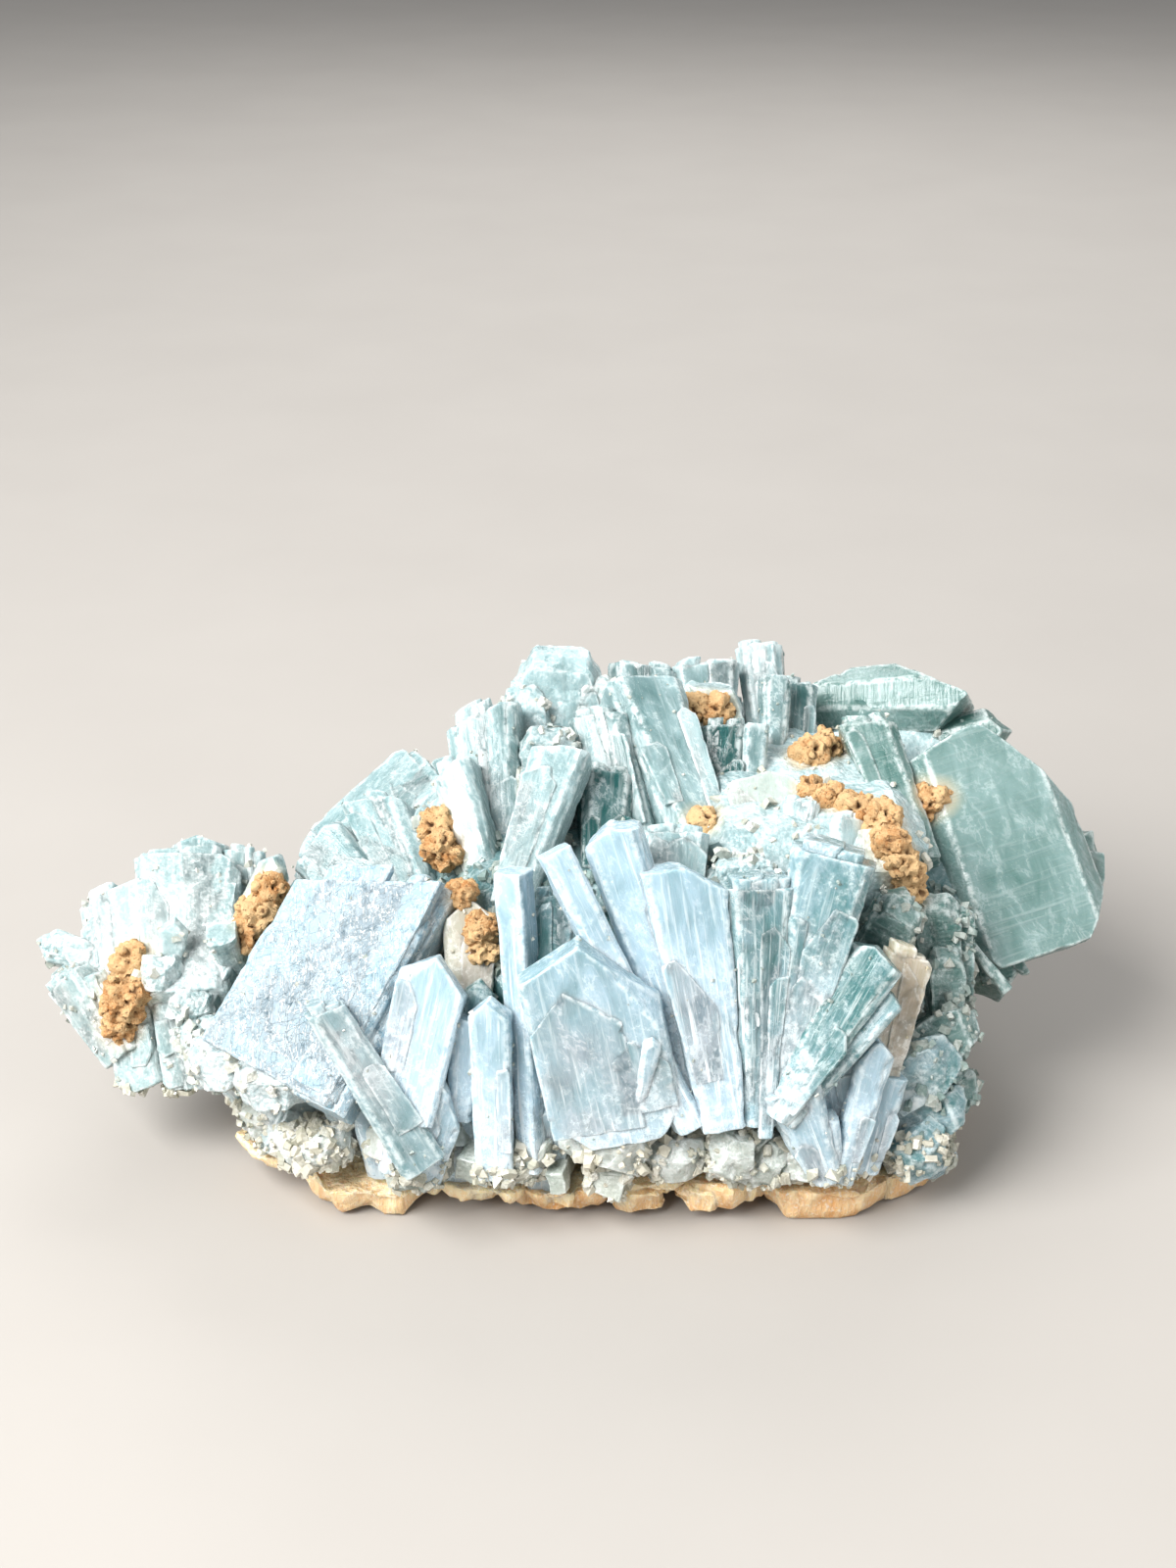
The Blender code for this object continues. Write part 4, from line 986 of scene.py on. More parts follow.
class BaritePatterns:
    """The patterns that every barite finish is mixed from."""

    def __init__(self, graph: Graph) -> None:
        """Read the attributes of a Bundle and add the textures.

        Args:
            graph: the material's graph.
        """
        self.grain, self.place = graph.attribute("grain"), graph.place()
        self.edge, self.along, self.tint = graph.attribute("look").parts()
        self.frost, self.fibre, self.cream = graph.attribute("cover").parts()
        self.clouds = graph.noise(self.place, 0.07, 2)
        self.veils = graph.noise(self.grain.scaled(1, 1, 0.4), 0.25, 4, 0.62, 0.8)
        self.streaks = graph.noise(self.grain.scaled(1, 1, 0.045), 1.5, 3, 0.6)
        self.threads = graph.noise(self.grain.scaled(1, 1, 0.03), 5.5, 2, 0.6)
        self.mottling = graph.noise(self.place, 0.75, 5, 0.68)
        self.specks = graph.noise(self.place, 4.5, 2, 0.6)
        self.sugar = graph.cells(self.place, 1.25)
        self.cracks = abs(graph.noise(self.place.turned(35).scaled(1, 1, 0.45), 0.42, 4, 0.62, 0.4) - 0.5)


@dataclass(frozen=True)
class BariteFinish(Finish):
    """Translucent barite: clouded blue with veils, streaks along the crystal and white frost."""
    deep: Colour = srgb(70, 120, 122)
    pale: Colour = srgb(182, 208, 210)
    gloss: float = 0.16         # roughness where it is clean
    shine: float = 0.26         # strength of its mirror light
    etch: float = 0.0           # fine hair lines on broad faces
    cracks: float = 0.3         # whiteness of the healed cracks inside
    bands: float = 0.0          # growth lines across the crystal
    foot_frost: float = 0.0     # more frost towards the foot
    clear: float = 0.32         # share of light that goes through
    glow: float = 0.6           # share of the rest that is scattered below the surface
    milk: float = 0.85          # how white it is where the frost is full
    dull: float = 0.12          # how much rougher it is there

    def material(self) -> bpy.types.Material:
        """Build the material.

        Returns:
            The material, which reads the attributes of a Bundle.
        """
        graph = Graph(self.name)
        seen = BaritePatterns(graph)
        foot = (1 - seen.along).clamp() * self.foot_frost
        colour = self.colour(graph, seen, foot)
        streaks = seen.streaks.smooth(0.5, 0.74) * seen.fibre * (foot * 1.3 + 0.42)
        icing = (seen.mottling + seen.veils * 0.35 + seen.frost * 0.5 + foot * 0.35).smooth(0.85, 1.45)
        # The edge whitening from rim is partly worn frost and partly a painted highlight.
        white = streaks | icing | self.rim(seen) | self.healed(seen) | self.flecks(seen)
        height = self.relief(seen)
        if self.etch:
            lines = self.hair_lines(graph, seen)
            white = white | lines * self.etch * seen.mottling.smooth(0.3, 0.6)
            height = height + lines * self.etch * 0.12
        if self.bands:
            growth = graph.noise(seen.grain.scaled(0.05, 1, 1), 1.3, 3, 0.6, 0.3)
            white = white | growth.smooth(0.5, 0.72) * self.bands
            height = height + growth * 0.3
        roughness = (self.gloss + icing * 0.3 + seen.threads * seen.fibre * 0.16 + streaks * 0.1).clamp()
        shared = {"Normal": graph.bump(height), "IOR": BARITE_IOR, "Specular_IOR_Level": self.shine}
        clear = graph.surface(Base_Color=colour, Roughness=roughness, Transmission_Weight=self.clear,
                              Subsurface_Weight=self.glow, Subsurface_Radius=(0.7, 0.95, 1.0),
                              Subsurface_Scale=2.0 * MM, **shared)
        milky = graph.surface(Base_Color=graph.mix(colour, WHITE, self.milk),
                              Roughness=(roughness + self.dull).clamp(), **shared)
        return graph.finish(graph.blend(clear, milky, white.clamp()))

    def colour(self, graph: Graph, seen: BaritePatterns, foot: Value) -> Value:
        """Mix the body colour: deep or pale by tint, clouds and veils, then cream.

        Args:
            graph: the material's graph.
            seen: its patterns.
            foot: how near the crystal's foot is.

        Returns:
            The colour.
        """
        clouds, veils = seen.clouds - 0.5, seen.veils - 0.5
        depth = (seen.tint + clouds * 0.9 + veils * 1.3 + foot * 0.5).clamp()
        return graph.mix(graph.mix(self.deep, self.pale, depth), CREAM,
                         (seen.cream + clouds * 0.3 * seen.cream).clamp())

    def rim(self, seen: BaritePatterns) -> Value:
        """Whiten stretches of the crystal's edges: partly worn frost, partly a painted highlight along them.
        """
        return seen.edge.smooth(0.7, 0.1) * seen.mottling.smooth(0.36, 0.6) * 0.5

    def healed(self, seen: BaritePatterns) -> Value:
        """Whiten the healed cracks inside, where the veils are thick."""
        return seen.cracks.smooth(0.05, 0.0) * seen.veils.smooth(0.42, 0.62) * self.cracks

    def flecks(self, seen: BaritePatterns) -> Value:
        """Scatter white flecks, more of them on frost."""
        return seen.specks.smooth(0.66, 0.76) * 0.7 * (seen.frost + 0.25)

    def relief(self, seen: BaritePatterns) -> Value:
        """Model the fine surface.

        Args:
            seen: the material's patterns.

        Returns:
            Its height, in millimetres.
        """
        along = seen.streaks * seen.fibre * 0.22 + seen.threads * seen.fibre * 0.06
        frosted = along + seen.mottling * seen.frost * 0.2 + seen.specks * (seen.frost + 0.15) * 0.06
        return frosted + seen.veils * 0.35 - seen.sugar * seen.frost.smooth(0.3, 0.9) * 0.35

    def hair_lines(self, graph: Graph, seen: BaritePatterns) -> Value:
        """Draw two crossing sets of fine hair lines.

        Args:
            graph: the material's graph.
            seen: its patterns.

        Returns:
            How strong a line is at a place.
        """
        hairs = graph.noise(seen.grain.turned(28).scaled(1, 1, 0.22), 1.1, 3, 0.6, 0.6)
        cross = graph.noise(seen.grain.turned(-40).scaled(1, 1, 0.3), 0.8, 3, 0.6, 0.6)
        return abs(hairs - 0.5).smooth(0.045, 0.0) + abs(cross - 0.5).smooth(0.03, 0.0) * 0.7


@dataclass(frozen=True)
class CrustFinish(Finish):
    """Honey-coloured crust: columns side by side, pale where they are thin."""
    honey: Colour = srgb(212, 156, 92)
    pale: Colour = srgb(240, 216, 172)

    def material(self) -> bpy.types.Material:
        """Build the material.

        Returns:
            The material, which reads the attributes of a Bundle.
        """
        graph = Graph(self.name)
        place_mm = graph.place()
        _, up, tint = graph.attribute("look").parts()
        columns = graph.noise(place_mm.scaled(1, 1, 0.16), 0.75, 3, 0.6)
        clouds = graph.noise(place_mm, 0.12, 2)
        grit = graph.noise(place_mm, 2.2, 4, 0.65)
        pale = (columns.smooth(0.35, 0.7) * 0.6 + (clouds - 0.4) + up * 0.5 + (tint - 0.5) * 0.6).clamp()
        colour = graph.mix(self.honey, self.pale, pale)
        colour = graph.mix(colour, WHITE, grit.smooth(0.52, 0.7) * 0.55)
        height = columns * 0.9 + grit * 0.2
        return graph.finish(graph.surface(
            Base_Color=colour, Roughness=(grit * 0.3 + 0.25).clamp(), Normal=graph.bump(height),
            IOR=BARITE_IOR, Subsurface_Weight=0.4, Subsurface_Radius=(1.0, 0.7, 0.4),
            Subsurface_Scale=1.5 * MM))


@dataclass(frozen=True)
class ClayFinish(Finish):
    """Crumbly ochre clay, sandy in patches, with a painted highlight on its bumps and painted shade in its
    pits and pores.
    """
    sand: Colour = srgb(218, 182, 134)
    ochre: Colour = srgb(176, 116, 62)
    # painted shade: the colour of the pits and pores
    pore: Colour = srgb(74, 44, 24)

    def material(self) -> bpy.types.Material:
        """Build the material.

        Returns:
            The material, which reads how deep a point lies in a pore from the look attribute.
        """
        graph = Graph(self.name)
        place_mm = graph.place()
        pit, _, tint = graph.attribute("look").parts()
        patches = graph.noise(place_mm, 0.35, 3, 0.6)
        grit = graph.noise(place_mm, 3.2, 5, 0.7)
        holes = graph.cells(place_mm, 1.3)
        # Partly sand-coloured patches, partly a painted highlight where the grit rises.
        sand_tone_and_bump_light = (patches + grit - 0.62 + tint * 0.3).smooth(0.1, 0.65)
        # Painted shade: darker in the pits, in the pores and where the grit sinks.
        dark = pit.smooth(0.25, 0.9) + holes.smooth(0.2, 0.05) * 0.55 + grit.smooth(0.42, 0.3) * 0.4
        colour = graph.mix(graph.mix(self.ochre, self.sand, sand_tone_and_bump_light), self.pore, dark.clamp() * 0.85)
        height = grit * 0.5 + holes.smooth(0.05, 0.3) * 0.35
        return graph.finish(graph.surface(Base_Color=colour, Roughness=0.92, Normal=graph.bump(height),
                                          Specular_IOR_Level=0.2))


@dataclass(frozen=True)
class Host:
    """A convex body that small crystals may grow on, and that hides what lies inside it."""
    normals: np.ndarray
    offsets: np.ndarray
    middle: np.ndarray
    radius: float
    look: Look

    @classmethod
    def of(cls, bm: Body, look: Look) -> "Host":
        """Turn a convex body in its place into a host, and free it.

        Args:
            bm: the body.
            look: how it is coloured and what grows on it.

        Returns:
            The host.
        """
        normals, offsets = planes_of(bm)
        points = np.array([vert.co[:] for vert in bm.verts])
        bm.free()
        middle, radius = ball_of(points)
        return cls(normals, offsets, middle, float(radius), look)

    def outside(self, points: np.ndarray) -> np.ndarray:
        """Say how far points lie outside the body, below 0 inside it."""
        return np.max(points @ self.normals.T - self.offsets, axis=1)


def ball_of(points: np.ndarray) -> tuple[np.ndarray, float]:
    """Give the middle and the radius of a ball that holds all the points."""
    middle = (points.min(axis=0) + points.max(axis=0)) / 2
    return middle, np.linalg.norm(points - middle, axis=1).max()


class Solids:
    """All convex bodies of the cluster, for finding what lies hidden inside them."""

    def __init__(self, hosts: Sequence[Host]) -> None:
        """Keep the bodies and the ball that holds each.

        Args:
            hosts: the bodies.
        """
        self.hosts = hosts
        self.middles = np.array([host.middle for host in hosts])
        self.radii = np.array([host.radius for host in hosts])

    def bury(self, bm: Body, matrix: Matrix) -> None:
        """Delete the faces of a body that lie well inside one of the solids.

        Args:
            bm: the body.
            matrix: stands it in its place.
        """
        bm.verts.index_update()
        turn = np.array(matrix)
        points = np.array([vert.co[:] for vert in bm.verts]) @ turn[:3, :3].T + turn[:3, 3]
        middle, radius = ball_of(points)
        near = np.flatnonzero(np.linalg.norm(self.middles - middle, axis=1) < self.radii + radius)
        corners = [[vert.index for vert in face.verts] for face in bm.faces]
        hidden = np.zeros(len(corners), bool)
        for number in near:
            inside = self.hosts[number].outside(points) < -BURIED
            if inside.any():
                hidden |= np.array([all(inside[corner] for corner in face) for face in corners])
        bm.faces.ensure_lookup_table()
        bmesh.ops.delete(bm, geom=[bm.faces[index] for index in np.flatnonzero(hidden)], context="FACES")


def stain(points: np.ndarray) -> np.ndarray:
    """Say how far the clay stains the crystals.

    Args:
        points: places, in the tables' frame.

    Returns:
        The strength of the stain at each, from 0 to 1.
    """
    lumps = [(middle, radius) for deposit in CLAY.values() for middle, radius in deposit]
    middles, radii = np.array([lump[0] for lump in lumps]), np.array([lump[1] for lump in lumps])
    away = np.linalg.norm(points[:, None, :] - middles[None], axis=2) - radii
    return np.clip(1 - away.min(axis=1) / STAIN_REACH, 0, 1)


@dataclass(frozen=True)
class Skin:
    """How a crystal's flat faces wander and its edges are chipped, in millimetres."""
    long_wave: tuple[float, float] = (0.16, 0.22)
    fine_frequency: float = 0.9
    fine: float = 0.05            # height of the fine wave
    frosted: float = 0.16         # how much higher it is under frost
    dome_frequency: float = 0.42
    dome_swell: float = 1.1       # how far a rounded crystal's lumps rise and sink
    chip_scale: Triple = (0.55, 0.55, 0.4)
    chip_least: float = 0.12      # the noise from which there is a chip
    chip_depth: float = 1.1
    chip_reach: float = 0.8       # how far it goes from the edge
    highest: float = 0.12
    sunk: float = 0.06            # how far inside its planes the crystal stays
    edge_reach: float = 5.0       # furthest distance from an edge that is told apart
    tint_change: float = 0.12     # most that a crystal differs from its look
    frost_change: float = 0.1
    stained: float = 0.8          # cream colour that the clay leaves

    def grow(self, crystal: Crystal, look: Look, bundle: Bundle, solids: Solids, detail: float,
             chamfer: float) -> None:
        """Add one crystal to a bundle.

        Args:
            crystal: the crystal.
            look: how it is coloured.
            bundle: where its mesh goes.
            solids: the bodies that hide parts of it.
            detail: the longest edge of its mesh.
            chamfer: the width taken off its edges.
        """
        bm = crystal.body()
        bmesh.ops.remove_doubles(bm, verts=bm.verts, dist=SHORTEST_EDGE)
        normals, offsets = planes_of(bm)
        bevel_edges(bm, chamfer)
        split_edges(bm, COARSE)
        bmesh.ops.recalc_face_normals(bm, faces=bm.faces)
        solids.bury(bm, crystal.frame())
        if not bm.faces:
            bm.free()
            return
        split_edges(bm, detail)
        points, outward, triangles = arrays(bm)
        second_nearest = np.sort(offsets - points @ normals.T, axis=1)[:, 1]
        edge = np.clip(second_nearest, 0, self.edge_reach)
        draw = random.Random(crystal.name + " surface")
        offset = Vector([draw.uniform(0, FAR_OFFSET) for _ in range(3)])
        waves = (self.long_wave, (self.fine_frequency, self.fine + self.frosted * look.frost),
                 (self.dome_frequency, self.dome_swell if crystal.end is End.DOME else 0.0))
        for index, point in enumerate(points):
            spot = Vector(point) + offset
            chip = max(0.0, noise.noise(spot * Vector(self.chip_scale)) - self.chip_least) * self.chip_depth
            inward = chip * max(0.0, 1.0 - edge[index] / self.chip_reach)
            points[index] += outward[index] * (min(ripple(spot, waves), self.highest) - inward - self.sunk)
        along = np.clip(points[:, 2] / crystal.length, 0, 1)
        tint = look.tint + draw.uniform(-self.tint_change, self.tint_change)
        frost = look.frost + draw.uniform(-self.frost_change, self.frost_change)
        matrix = np.array(crystal.frame())
        world = points @ matrix[:3, :3].T + matrix[:3, 3]
        bundle.add(world, triangles, grain=points + np.array(offset),
                   look=filled(len(points), edge, along, tint),
                   cover=filled(len(points), frost, look.fibre,
                                np.maximum(look.cream, stain(world) * self.stained)))


SKIN = Skin()


@dataclass
class CrystalGroup:
    """One piece of the specimen: crystals that grow together, and all that has grown on them."""
    name: str
    crystals: tuple[Crystal, ...]
    finish: BariteFinish
    look: Look = Look()
    special: dict[str, Look] = field(default_factory=dict)   # looks of single crystals, by name
    detail: float = 1.75
    chamfer: float = 0.22
    least_terraced: float = 6.0   # width from which a crystal gets terraces and laths

    def look_of(self, crystal: Crystal) -> Look:
        """Find a crystal's look.

        Args:
            crystal: one of the table's crystals.

        Returns:
            Its own look, or else its group's.
        """
        if crystal.name in self.special:
            return self.special[crystal.name]
        return self.look.rounded() if crystal.end is End.DOME else self.look

    def members(self) -> list[tuple[Crystal, Look]]:
        """List the group's crystals and those grown along their sides, each with its look."""
        return [(member, self.look_of(crystal)) for crystal in self.crystals
                for member in [crystal, *crystal.side_crystals()]]

    def parts(self, member: Crystal, look: Look) -> list[Crystal]:
        """List the bodies that make up one crystal.

        Args:
            member: the crystal.
            look: its look, with its laths and terraces.

        Returns:
            The bodies, the largest first.
        """
        if member.width < self.least_terraced or member.end is End.DOME:
            return [member]
        stepped = look.laths and member.end is End.FLAT and not member.trims
        return (member.laths(look.laths) if stepped else [member]) + member.terraces(look.terraces)

    def standing(self, crystal: Crystal, look: Look) -> Host:
        """Stand a crystal in its place, as a host.

        Args:
            crystal: the crystal.
            look: its look.

        Returns:
            The host.
        """
        bm = crystal.body()
        bmesh.ops.transform(bm, matrix=crystal.frame(), verts=bm.verts)
        return Host.of(bm, look)

    def hosts(self) -> list[Host]:
        """Give the crystals as bodies that small crystals may grow on."""
        return [self.standing(member, look) for member, look in self.members()]

    def cores(self) -> list[Host]:
        """Give the largest body of each crystal, which hides what lies inside it."""
        return [self.standing(self.parts(member, look)[0], look) for member, look in self.members()]

    def build(self, cad: Cad, solids: Solids) -> None:
        """Build the piece.

        Args:
            cad: the CAD model.
            solids: the bodies that hide parts of it.
        """
        bundle = Bundle()
        for member, look in self.members():
            for part in self.parts(member, look):
                SKIN.grow(part, look, bundle, solids, self.detail, self.chamfer)
        place(bundle.build(self.name, cad), self.finish.material(), "barite", "barite_cluster")


@dataclass
class CoreMass:
    """The intergrown mass behind the crystals, seen only between them."""
    name: str
    blocks: tuple
    finish: BariteFinish
    look: Look = Look(tint=0.2, frost=0.3, druse=0.4, grains=(0.8, 2.2))
    detail: float = 2.2
    lowered: float = 0.3      # how far inside the CAD surface it stays
    waves: Waves = ((0.35, 0.9), (0.12, 0.9))
    swing: Span = (-0.5, 0.3)   # how far its surface sinks and rises
    edge: float = 1.5         # the same distance to an edge and share of a length everywhere
    along: float = 0.6
    slope: float = 0.7        # depth of the cuts above, as a share of the block's corner cut
    slope_low: float = 0.6    # and of those below

    def body(self, low: Triple, high: Triple, corner: float) -> Body:
        """Make one block of the mass, a box with all its corners and upper edges cut off.

        Args:
            low: its lowest corner.
            high: its highest corner.
            corner: depth of the cuts.

        Returns:
            The block in its place.
        """
        size = Vector(high) - Vector(low)
        bm = box(size.x, size.y, low[2], high[2])
        for side in (-1, 1):
            shave(bm, (side, 0, 1), corner * self.slope)
            shave(bm, (0, side, 1), corner * self.slope)
            for y_side in (-1, 1):
                shave(bm, (side, y_side, 0), corner)
                shave(bm, (side, y_side, -0.8), corner * self.slope_low)
        middle = (Vector(low) + Vector(high)) / 2
        bmesh.ops.translate(bm, vec=(middle.x, middle.y, 0), verts=bm.verts)
        return bm

    def hosts(self) -> list[Host]:
        """Give the blocks as bodies that small crystals may grow on."""
        return [Host.of(self.body(*block), self.look) for block in self.blocks]

    cores = hosts

    def build(self, cad: Cad, solids: Solids) -> None:
        """Build the piece.

        Args:
            cad: the CAD model.
            solids: the bodies that hide parts of it.
        """
        bundle = Bundle()
        for block in self.blocks:
            bm = self.body(*block)
            split_edges(bm, COARSE)
            bmesh.ops.recalc_face_normals(bm, faces=bm.faces)
            solids.bury(bm, Matrix.Identity(4))
            split_edges(bm, self.detail)
            points, outward, triangles = arrays(bm)
            for index, point in enumerate(points):
                rise = held(ripple(Vector(point), self.waves), self.swing)
                points[index] += outward[index] * (rise - self.lowered)
            count = len(points)
            bundle.add(points, triangles, grain=points,
                       look=filled(count, self.edge, self.along, self.look.tint),
                       cover=filled(count, self.look.frost, self.look.fibre, stain(points)))
        place(bundle.build(self.name, cad), self.finish.material(), "barite", "barite_cluster")


class Habit(Enum):
    """Shapes of small crystals: half width, half thickness, height above and below, end faces."""
    TABLE = (0.55, 0.24, 0.5, 0.45, ((0.6, 0.3), (-0.8, 0.2)))
    BLOCK = (0.48, 0.4, 0.45, 0.45, ((0.35, 0.5), (-0.5, -0.3)))
    WEDGE = (0.4, 0.34, 0.55, 0.45, ((0.1, 0.9), (-0.1, -0.9)))

    def mesh(self) -> tuple[np.ndarray, np.ndarray]:
        """Cut a small crystal about a millimetre long, up the Z axis, open below.

        Returns:
            Its points and its triangles.
        """
        half_width, half_thick, above, below, ends = self.value
        bm = box(half_width * 2, half_thick * 2, -below, above)
        shave(bm, (1, 0.8, 0.1), half_thick * 0.4)
        for across, along in ends:
            cut(bm, Vector((0, 0, above * 0.92)), (across, along, 1.0))
        bottom = [face for face in bm.faces if face.calc_center_median().z < -below * 0.99]
        bmesh.ops.delete(bm, geom=bottom, context="FACES")
        bmesh.ops.triangulate(bm, faces=bm.faces)
        points, _, triangles = arrays(bm)
        return points, triangles


def surface_samples(item: bpy.types.Object, count: int, seed: int) -> tuple[np.ndarray, np.ndarray]:
    """Scatter points evenly over a CAD node.

    Args:
        item: the node's object.
        count: how many points.
        seed: the draw's seed.

    Returns:
        The points in the tables' frame in millimetres, and their outward normals.
    """
    draw = np.random.default_rng(seed)
    mesh = item.data
    mesh.calc_loop_triangles()
    corners = np.array([vert.co[:] for vert in mesh.vertices]) / MM - np.array(SHIFT)
    faces = np.array([triangle.vertices[:] for triangle in mesh.loop_triangles])
    a, b, c = (corners[faces[:, column]] for column in range(3))
    cross = np.cross(b - a, c - a)
    area = np.linalg.norm(cross, axis=1)
    chosen = draw.choice(len(faces), size=count, p=area / area.sum())
    s, t = draw.random((2, count))
    flip = s + t > 1
    s[flip], t[flip] = 1 - s[flip], 1 - t[flip]
    points = a[chosen] + (b - a)[chosen] * s[:, None] + (c - a)[chosen] * t[:, None]
    return points, (cross / np.maximum(area, 1e-9)[:, None])[chosen]


@dataclass
class Druse:
    """The sugary cover of small crystals on the mass, the rounded crystals and the foot."""
    name: str
    finish: BariteFinish
    samples: int = 42000
    foot: Span = (5.5, 14.0)      # heights between which the cover is thick
    foot_look: Look = Look(tint=0.75, frost=0.5, druse=0.5, grains=(0.6, 2.0), cream=0.4)
    most: int = 8000              # in one piece
    habits: tuple[Habit, ...] = (Habit.TABLE, Habit.BLOCK, Habit.BLOCK, Habit.WEDGE, Habit.WEDGE)
    patches: Waves = ((0.16, 1.6),)
    mean_patch: float = 0.75
    patch_swing: Span = (0.12, 1.3)    # barest and thickest patch
    small_share: float = 2.2      # the higher, the more of them are small
    tilt: float = 0.6             # how far they lean away from the surface's normal
    widths: Span = (0.7, 1.4)
    depths: Span = (0.8, 1.4)
    heights: Span = (0.7, 1.2)
    frosts: Span = (-0.4, 0.2)    # how far a crystal's frost differs from its look
    tints: Span = (-0.3, 0.3)
    stained: float = 0.7          # cream colour that the clay leaves
    edge: float = 1.2             # edge, along and fibre are the same everywhere
    along: float = 0.5
    fibre: float = 0.3
    sharp: float = math.radians(5)

    def looks(self, points: np.ndarray, hosts: list[Host]) -> list[Look | None]:
        """Find what grows at each point, from the body that it lies on.

        Args:
            points: places on the CAD cluster's surface.
            hosts: the bodies of the cluster.

        Returns:
            A look for each point, or None where the surface was cut open for clay or crust.
        """
        found: list[Look | None] = [None] * len(points)
        for host in hosts:
            for index in np.flatnonzero(np.abs(host.outside(points)) < ON_SURFACE):
                if found[index] is None or host.look.druse > found[index].druse:
                    found[index] = host.look
        low, high = self.foot
        for index in np.flatnonzero((points[:, 2] > low) & (points[:, 2] < high)):
            if found[index] is not None:
                found[index] = self.foot_look
        return found

    def build(self, cad: Cad, hosts: list[Host]) -> None:
        """Scatter the small crystals over the CAD cluster's surface, in patches.

        Args:
            cad: the CAD model.
            hosts: bodies whose looks say how many grow on each.
        """
        draw = np.random.default_rng(11)
        points, normals = surface_samples(cad.cluster, self.samples, 4)
        area = sum(face.area for face in cad.cluster.data.polygons) / MM ** 2
        chance = draw.random(self.samples) * self.samples / area
        looks = self.looks(points, hosts)
        templates = [habit.mesh() for habit in self.habits]
        bundle, pieces = Bundle(), 1
        for index, look in enumerate(looks):
            if look is None:
                continue
            patch = held(ripple(Vector(points[index]), self.patches) + self.mean_patch, self.patch_swing)
            if chance[index] > look.druse * patch:
                continue
            self.grow(bundle, templates, points[index], normals[index], look, draw)
            if len(bundle.points) == self.most:
                self.add_piece(cad, bundle, pieces)
                bundle, pieces = Bundle(), pieces + 1
        self.add_piece(cad, bundle, pieces)

    def grow(self, bundle: Bundle, templates: list[tuple[np.ndarray, np.ndarray]], point: np.ndarray,
             normal: np.ndarray, look: Look, draw: np.random.Generator) -> None:
        """Grow one small crystal.

        Args:
            bundle: where its mesh goes.
            templates: points and triangles of each habit.
            point: where it stands.
            normal: the surface's normal there.
            look: its look.
            draw: gives its size, shape and lean.
        """
        small, large = look.grains
        size = small + (large - small) * draw.random() ** self.small_share
        shape, triangles = templates[int(draw.integers(len(templates)))]
        aim = Vector(normal) + Vector(draw.normal(0, self.tilt, 3))
        spin = Matrix.Rotation(draw.uniform(0, 2 * math.pi), 3, "Z")
        turn = np.array(aim.to_track_quat("Z", "Y").to_matrix() @ spin)
        stretch = [draw.uniform(*span) for span in (self.widths, self.depths, self.heights)]
        local = shape * np.array(stretch) * size
        frost = np.clip(look.frost + draw.uniform(*self.frosts), 0, 1)
        cream = max(look.cream, float(stain(point[None])[0]) * self.stained)
        grain = local + draw.uniform(0, FAR_OFFSET, 3)
        tint = look.tint + draw.uniform(*self.tints)
        bundle.add(point + local @ turn.T, triangles, grain=grain,
                   look=np.array((self.edge, self.along, tint)), cover=np.array((frost, self.fibre, cream)))

    def add_piece(self, cad: Cad, bundle: Bundle, number: int) -> None:
        """Make one piece of what has grown so far.

        Args:
            cad: the CAD model.
            bundle: its small crystals.
            number: the piece's number.
        """
        finish = replace(self.finish, name=f"{self.finish.name}_{number}")
        place(bundle.build(f"{self.name}_{number}", cad, self.sharp), finish.material(), "barite",
              "barite_cluster")


def foot_line(angle: float) -> Vector:
    """Find a point of the line that the crystals' feet follow.

    Args:
        angle: the point's direction, from +X.

    Returns:
        The point, at the height of the crust's underside.
    """
    power = 2 / FOOT_SQUARENESS
    across, along = math.cos(angle), math.sin(angle)
    x = math.copysign(abs(across) ** power, across) * FOOT_RADII[0]
    y = math.copysign(abs(along) ** power, along) * FOOT_RADII[1]
    return FOOT_CENTRE + Vector((x, y, 0))


